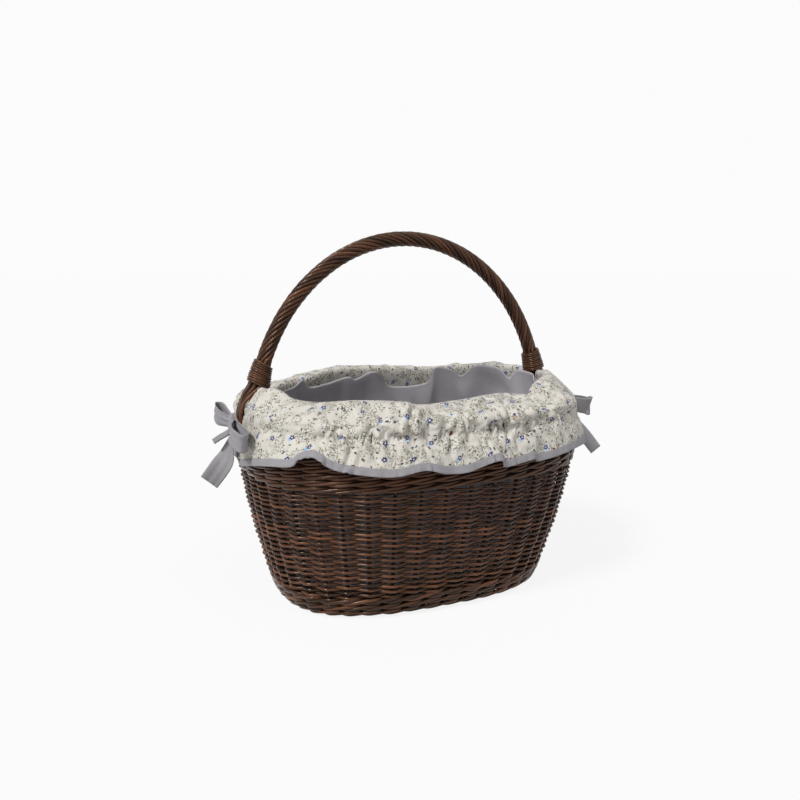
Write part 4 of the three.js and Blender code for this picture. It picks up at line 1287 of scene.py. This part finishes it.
for half, start in (("back", 0.0), ("front", 0.5)):
    gap = SPLIT / 2 / WAY_ROUND
    first_gap = gap if half == "back" else LEFT_FRONT_SPLIT / 2 / WAY_ROUND
    share = np.linspace(start + first_gap, start + 0.5 - gap, FRILL_COLUMNS)
    places = frill_sheet(half, share)
    frill = Work()
    frill.grid(places, flat_lengths(places))
    frill_piece = frill.piece(f"{half}_frill_cloth", [f"{half}_frill"], "floral", floral, CLOTH, sharp=80)

    down = unit(places[-1] - places[-4])
    part = np.linspace(-HEM_OVERLAP, 1, HEM_ROWS)[:, None, None]
    hem_places = places[-1] + down * part * HEM_BAND
    hem = Work()
    hem.grid(hem_places, flat_lengths(hem_places))
    hem_nodes = [f"{half}_hem_binding"]
    hem_piece = hem.piece(f"{half}_hem_tape", hem_nodes, "ribbon", grey_tape, HEM_THICKNESS)
    size = flat_size(places)
    print(f"{half} frill lies over {size[0]:.3f} by {size[1]:.3f} m")

# %% [markdown]
# ## Bows
# Grey tape is tied round each foot of the handle: a knot, two loops and two tails. A tape
# is a narrow sheet that follows a path, with its edge turned towards a side of its own at
# each point. Loops leave the knot narrow, open out, and come back to it.

# %% Ribbons
RIBBON_WIDTH = 24 * MM
RIBBON_THICKNESS = 0.9 * MM
KNOT = np.array([11, 17, 22]) * MM
KNOT_LEVEL = 221 * MM
GATHERS = 2.5
GATHER_HEIGHT = 2.2 * MM
CROWN = 0.6 * MM


def knot_middle(end):
    return np.array([end * (TAIL_OUTSIDE + STRAND_RADIUS + 0.4 * KNOT[0]), 0, KNOT_LEVEL])


def ribbon(side, end, part, stations, edge_sides, widths):
    """A tape through stations, given from the knot's middle: out, along Y, and up, in mm."""
    turned = np.array([end, 1, 1])
    path = knot_middle(end) + smooth_path(np.array(stations, float), 10) * turned * MM
    sides = smooth_path(np.array(edge_sides, float), 10) * turned
    width = smooth_path(np.array(widths, float)[:, None], 10)[:, 0] * RIBBON_WIDTH
    along = unit(np.gradient(path, axis=0))
    across = unit(sides - (sides * along).sum(axis=1, keepdims=True) * along)
    cup = np.cross(along, across)
    v = np.linspace(-0.5, 0.5, 13)[:, None, None]
    pinched = np.clip(1.15 - width / RIBBON_WIDTH, 0, 0.6)[None, :, None]
    gathers = np.sin(v * 2 * math.pi * GATHERS) * pinched * GATHER_HEIGHT
    crowned = gathers + CROWN * np.cos(v * math.pi)
    places = path[None] + across[None] * v * width[None, :, None] + cup[None] * crowned
    work = Work()
    work.grid(places, flat_lengths(places))
    piece = work.piece(f"{side}_{part}_tape", [f"{side}_{part}"], "ribbon", grey_tape, RIBBON_THICKNESS)


def knot(side, end):
    """The tape's knot: a squarish ball, with the tape's folds round it."""
    work = Work()
    rows, columns = 17, 33
    polar = np.linspace(0, math.pi, rows)[:, None]
    turn = np.linspace(0, 2 * math.pi, columns)[None, :]
    x, y = np.sin(polar) * np.cos(turn), np.sin(polar) * np.sin(turn)
    ball = np.stack(np.broadcast_arrays(x, y, np.cos(polar)), -1)
    rounded = np.sign(ball) * abs(ball) ** 0.72
    folds = 1 + 0.05 * np.sin(polar * 6 + turn)[..., None] + 0.04 * np.sin(turn * 5)[..., None]
    places = knot_middle(end) + rounded * KNOT / 2 * folds
    places[:, -1] = places[:, 0]
    work.grid(places, np.stack(np.broadcast_arrays(turn * 5 * MM, polar * 8 * MM), -1))
    work.piece(f"{side}_tied_knot", [f"{side}_knot"], "ribbon", grey_tape)


# share of the loop's length, mm outwards and share of the width, from the knot and back to it
LOOP_SHAPE = (
    (0, -0.6, 0.6), (0.45, 0.8, 0.85), (0.85, 1.8, 1), (1, 6, 1), (0.93, 11, 1), (0.5, 11.5, 0.92),
    (0, 1.5, 0.6),
)


def loop(side, length, rise, lean, plump=1.0, tilt=(0, -0.22), size=1.0):
    """Stations, edge sides and widths of one loop."""
    stations, edges, widths = [], [], []
    start = KNOT[1] / MM / 2 - 1.5
    for part, off, width in LOOP_SHAPE:
        stations.append((off * plump + lean * part, side * (start + (length - start) * part), rise * part))
        edges.append((tilt[0], tilt[1] - side * rise / length, 1))
        widths.append(width * size)
    return stations, edges, widths


TURNING = [(0, 1, 0), (0.3, 0.9, 0.2), (0.5, 0.6, 0.4), (0.6, 0.25, 0.65), (0.6, 0, 0.8)]
# A tail is given by its stations, the side that its edge looks to and its share of the width.
BOWS = {
    "left": {
        "back_loop": loop(1, 44, 8, 2, 0.95),
        "front_loop": loop(-1, 63, -12, -7, 1.3, (0, -0.3)),
        "long_tail": (
            [(-1, 0, -8), (5, 0, -24), (10, 0, -40), (19, -1, -53), (31, -3, -67)],
            TURNING,
            [0.4, 0.7, 0.95, 1, 1],
        ),
        "short_tail": (
            [(1, 0, -7), (8, 2, -12), (15, 4, -16), (23, 5, -21)],
            [(0.3, 1, 0.1)] * 4,
            [0.4, 0.5, 0.5, 0.45],
        ),
    },
    "right": {
        "back_loop": loop(1, 36, 10, 0),
        "front_loop": loop(-1, 36, -7, 26, 1.2, (-0.35, -0.4), 1.15),
        "long_tail": (
            [(1, 0, -8), (11, -7, -17), (23, -16, -30), (35, -28, -47), (47, -41, -68)],
            [(1, 0.4, 0.4)] * 5,
            [0.4, 0.65, 0.85, 0.95, 0.9],
        ),
        "short_tail": (
            [(-1, 0, -8), (6, 3, -22), (16, 3, -38), (31, 2, -57)],
            [(0.3, 1, 0)] * 4,
            [0.4, 0.6, 0.8, 0.8],
        ),
    },
}
for side, end in (("left", -1), ("right", 1)):
    knot(side, end)
    for part, shape in BOWS[side].items():
        ribbon(side, end, part, *shape)
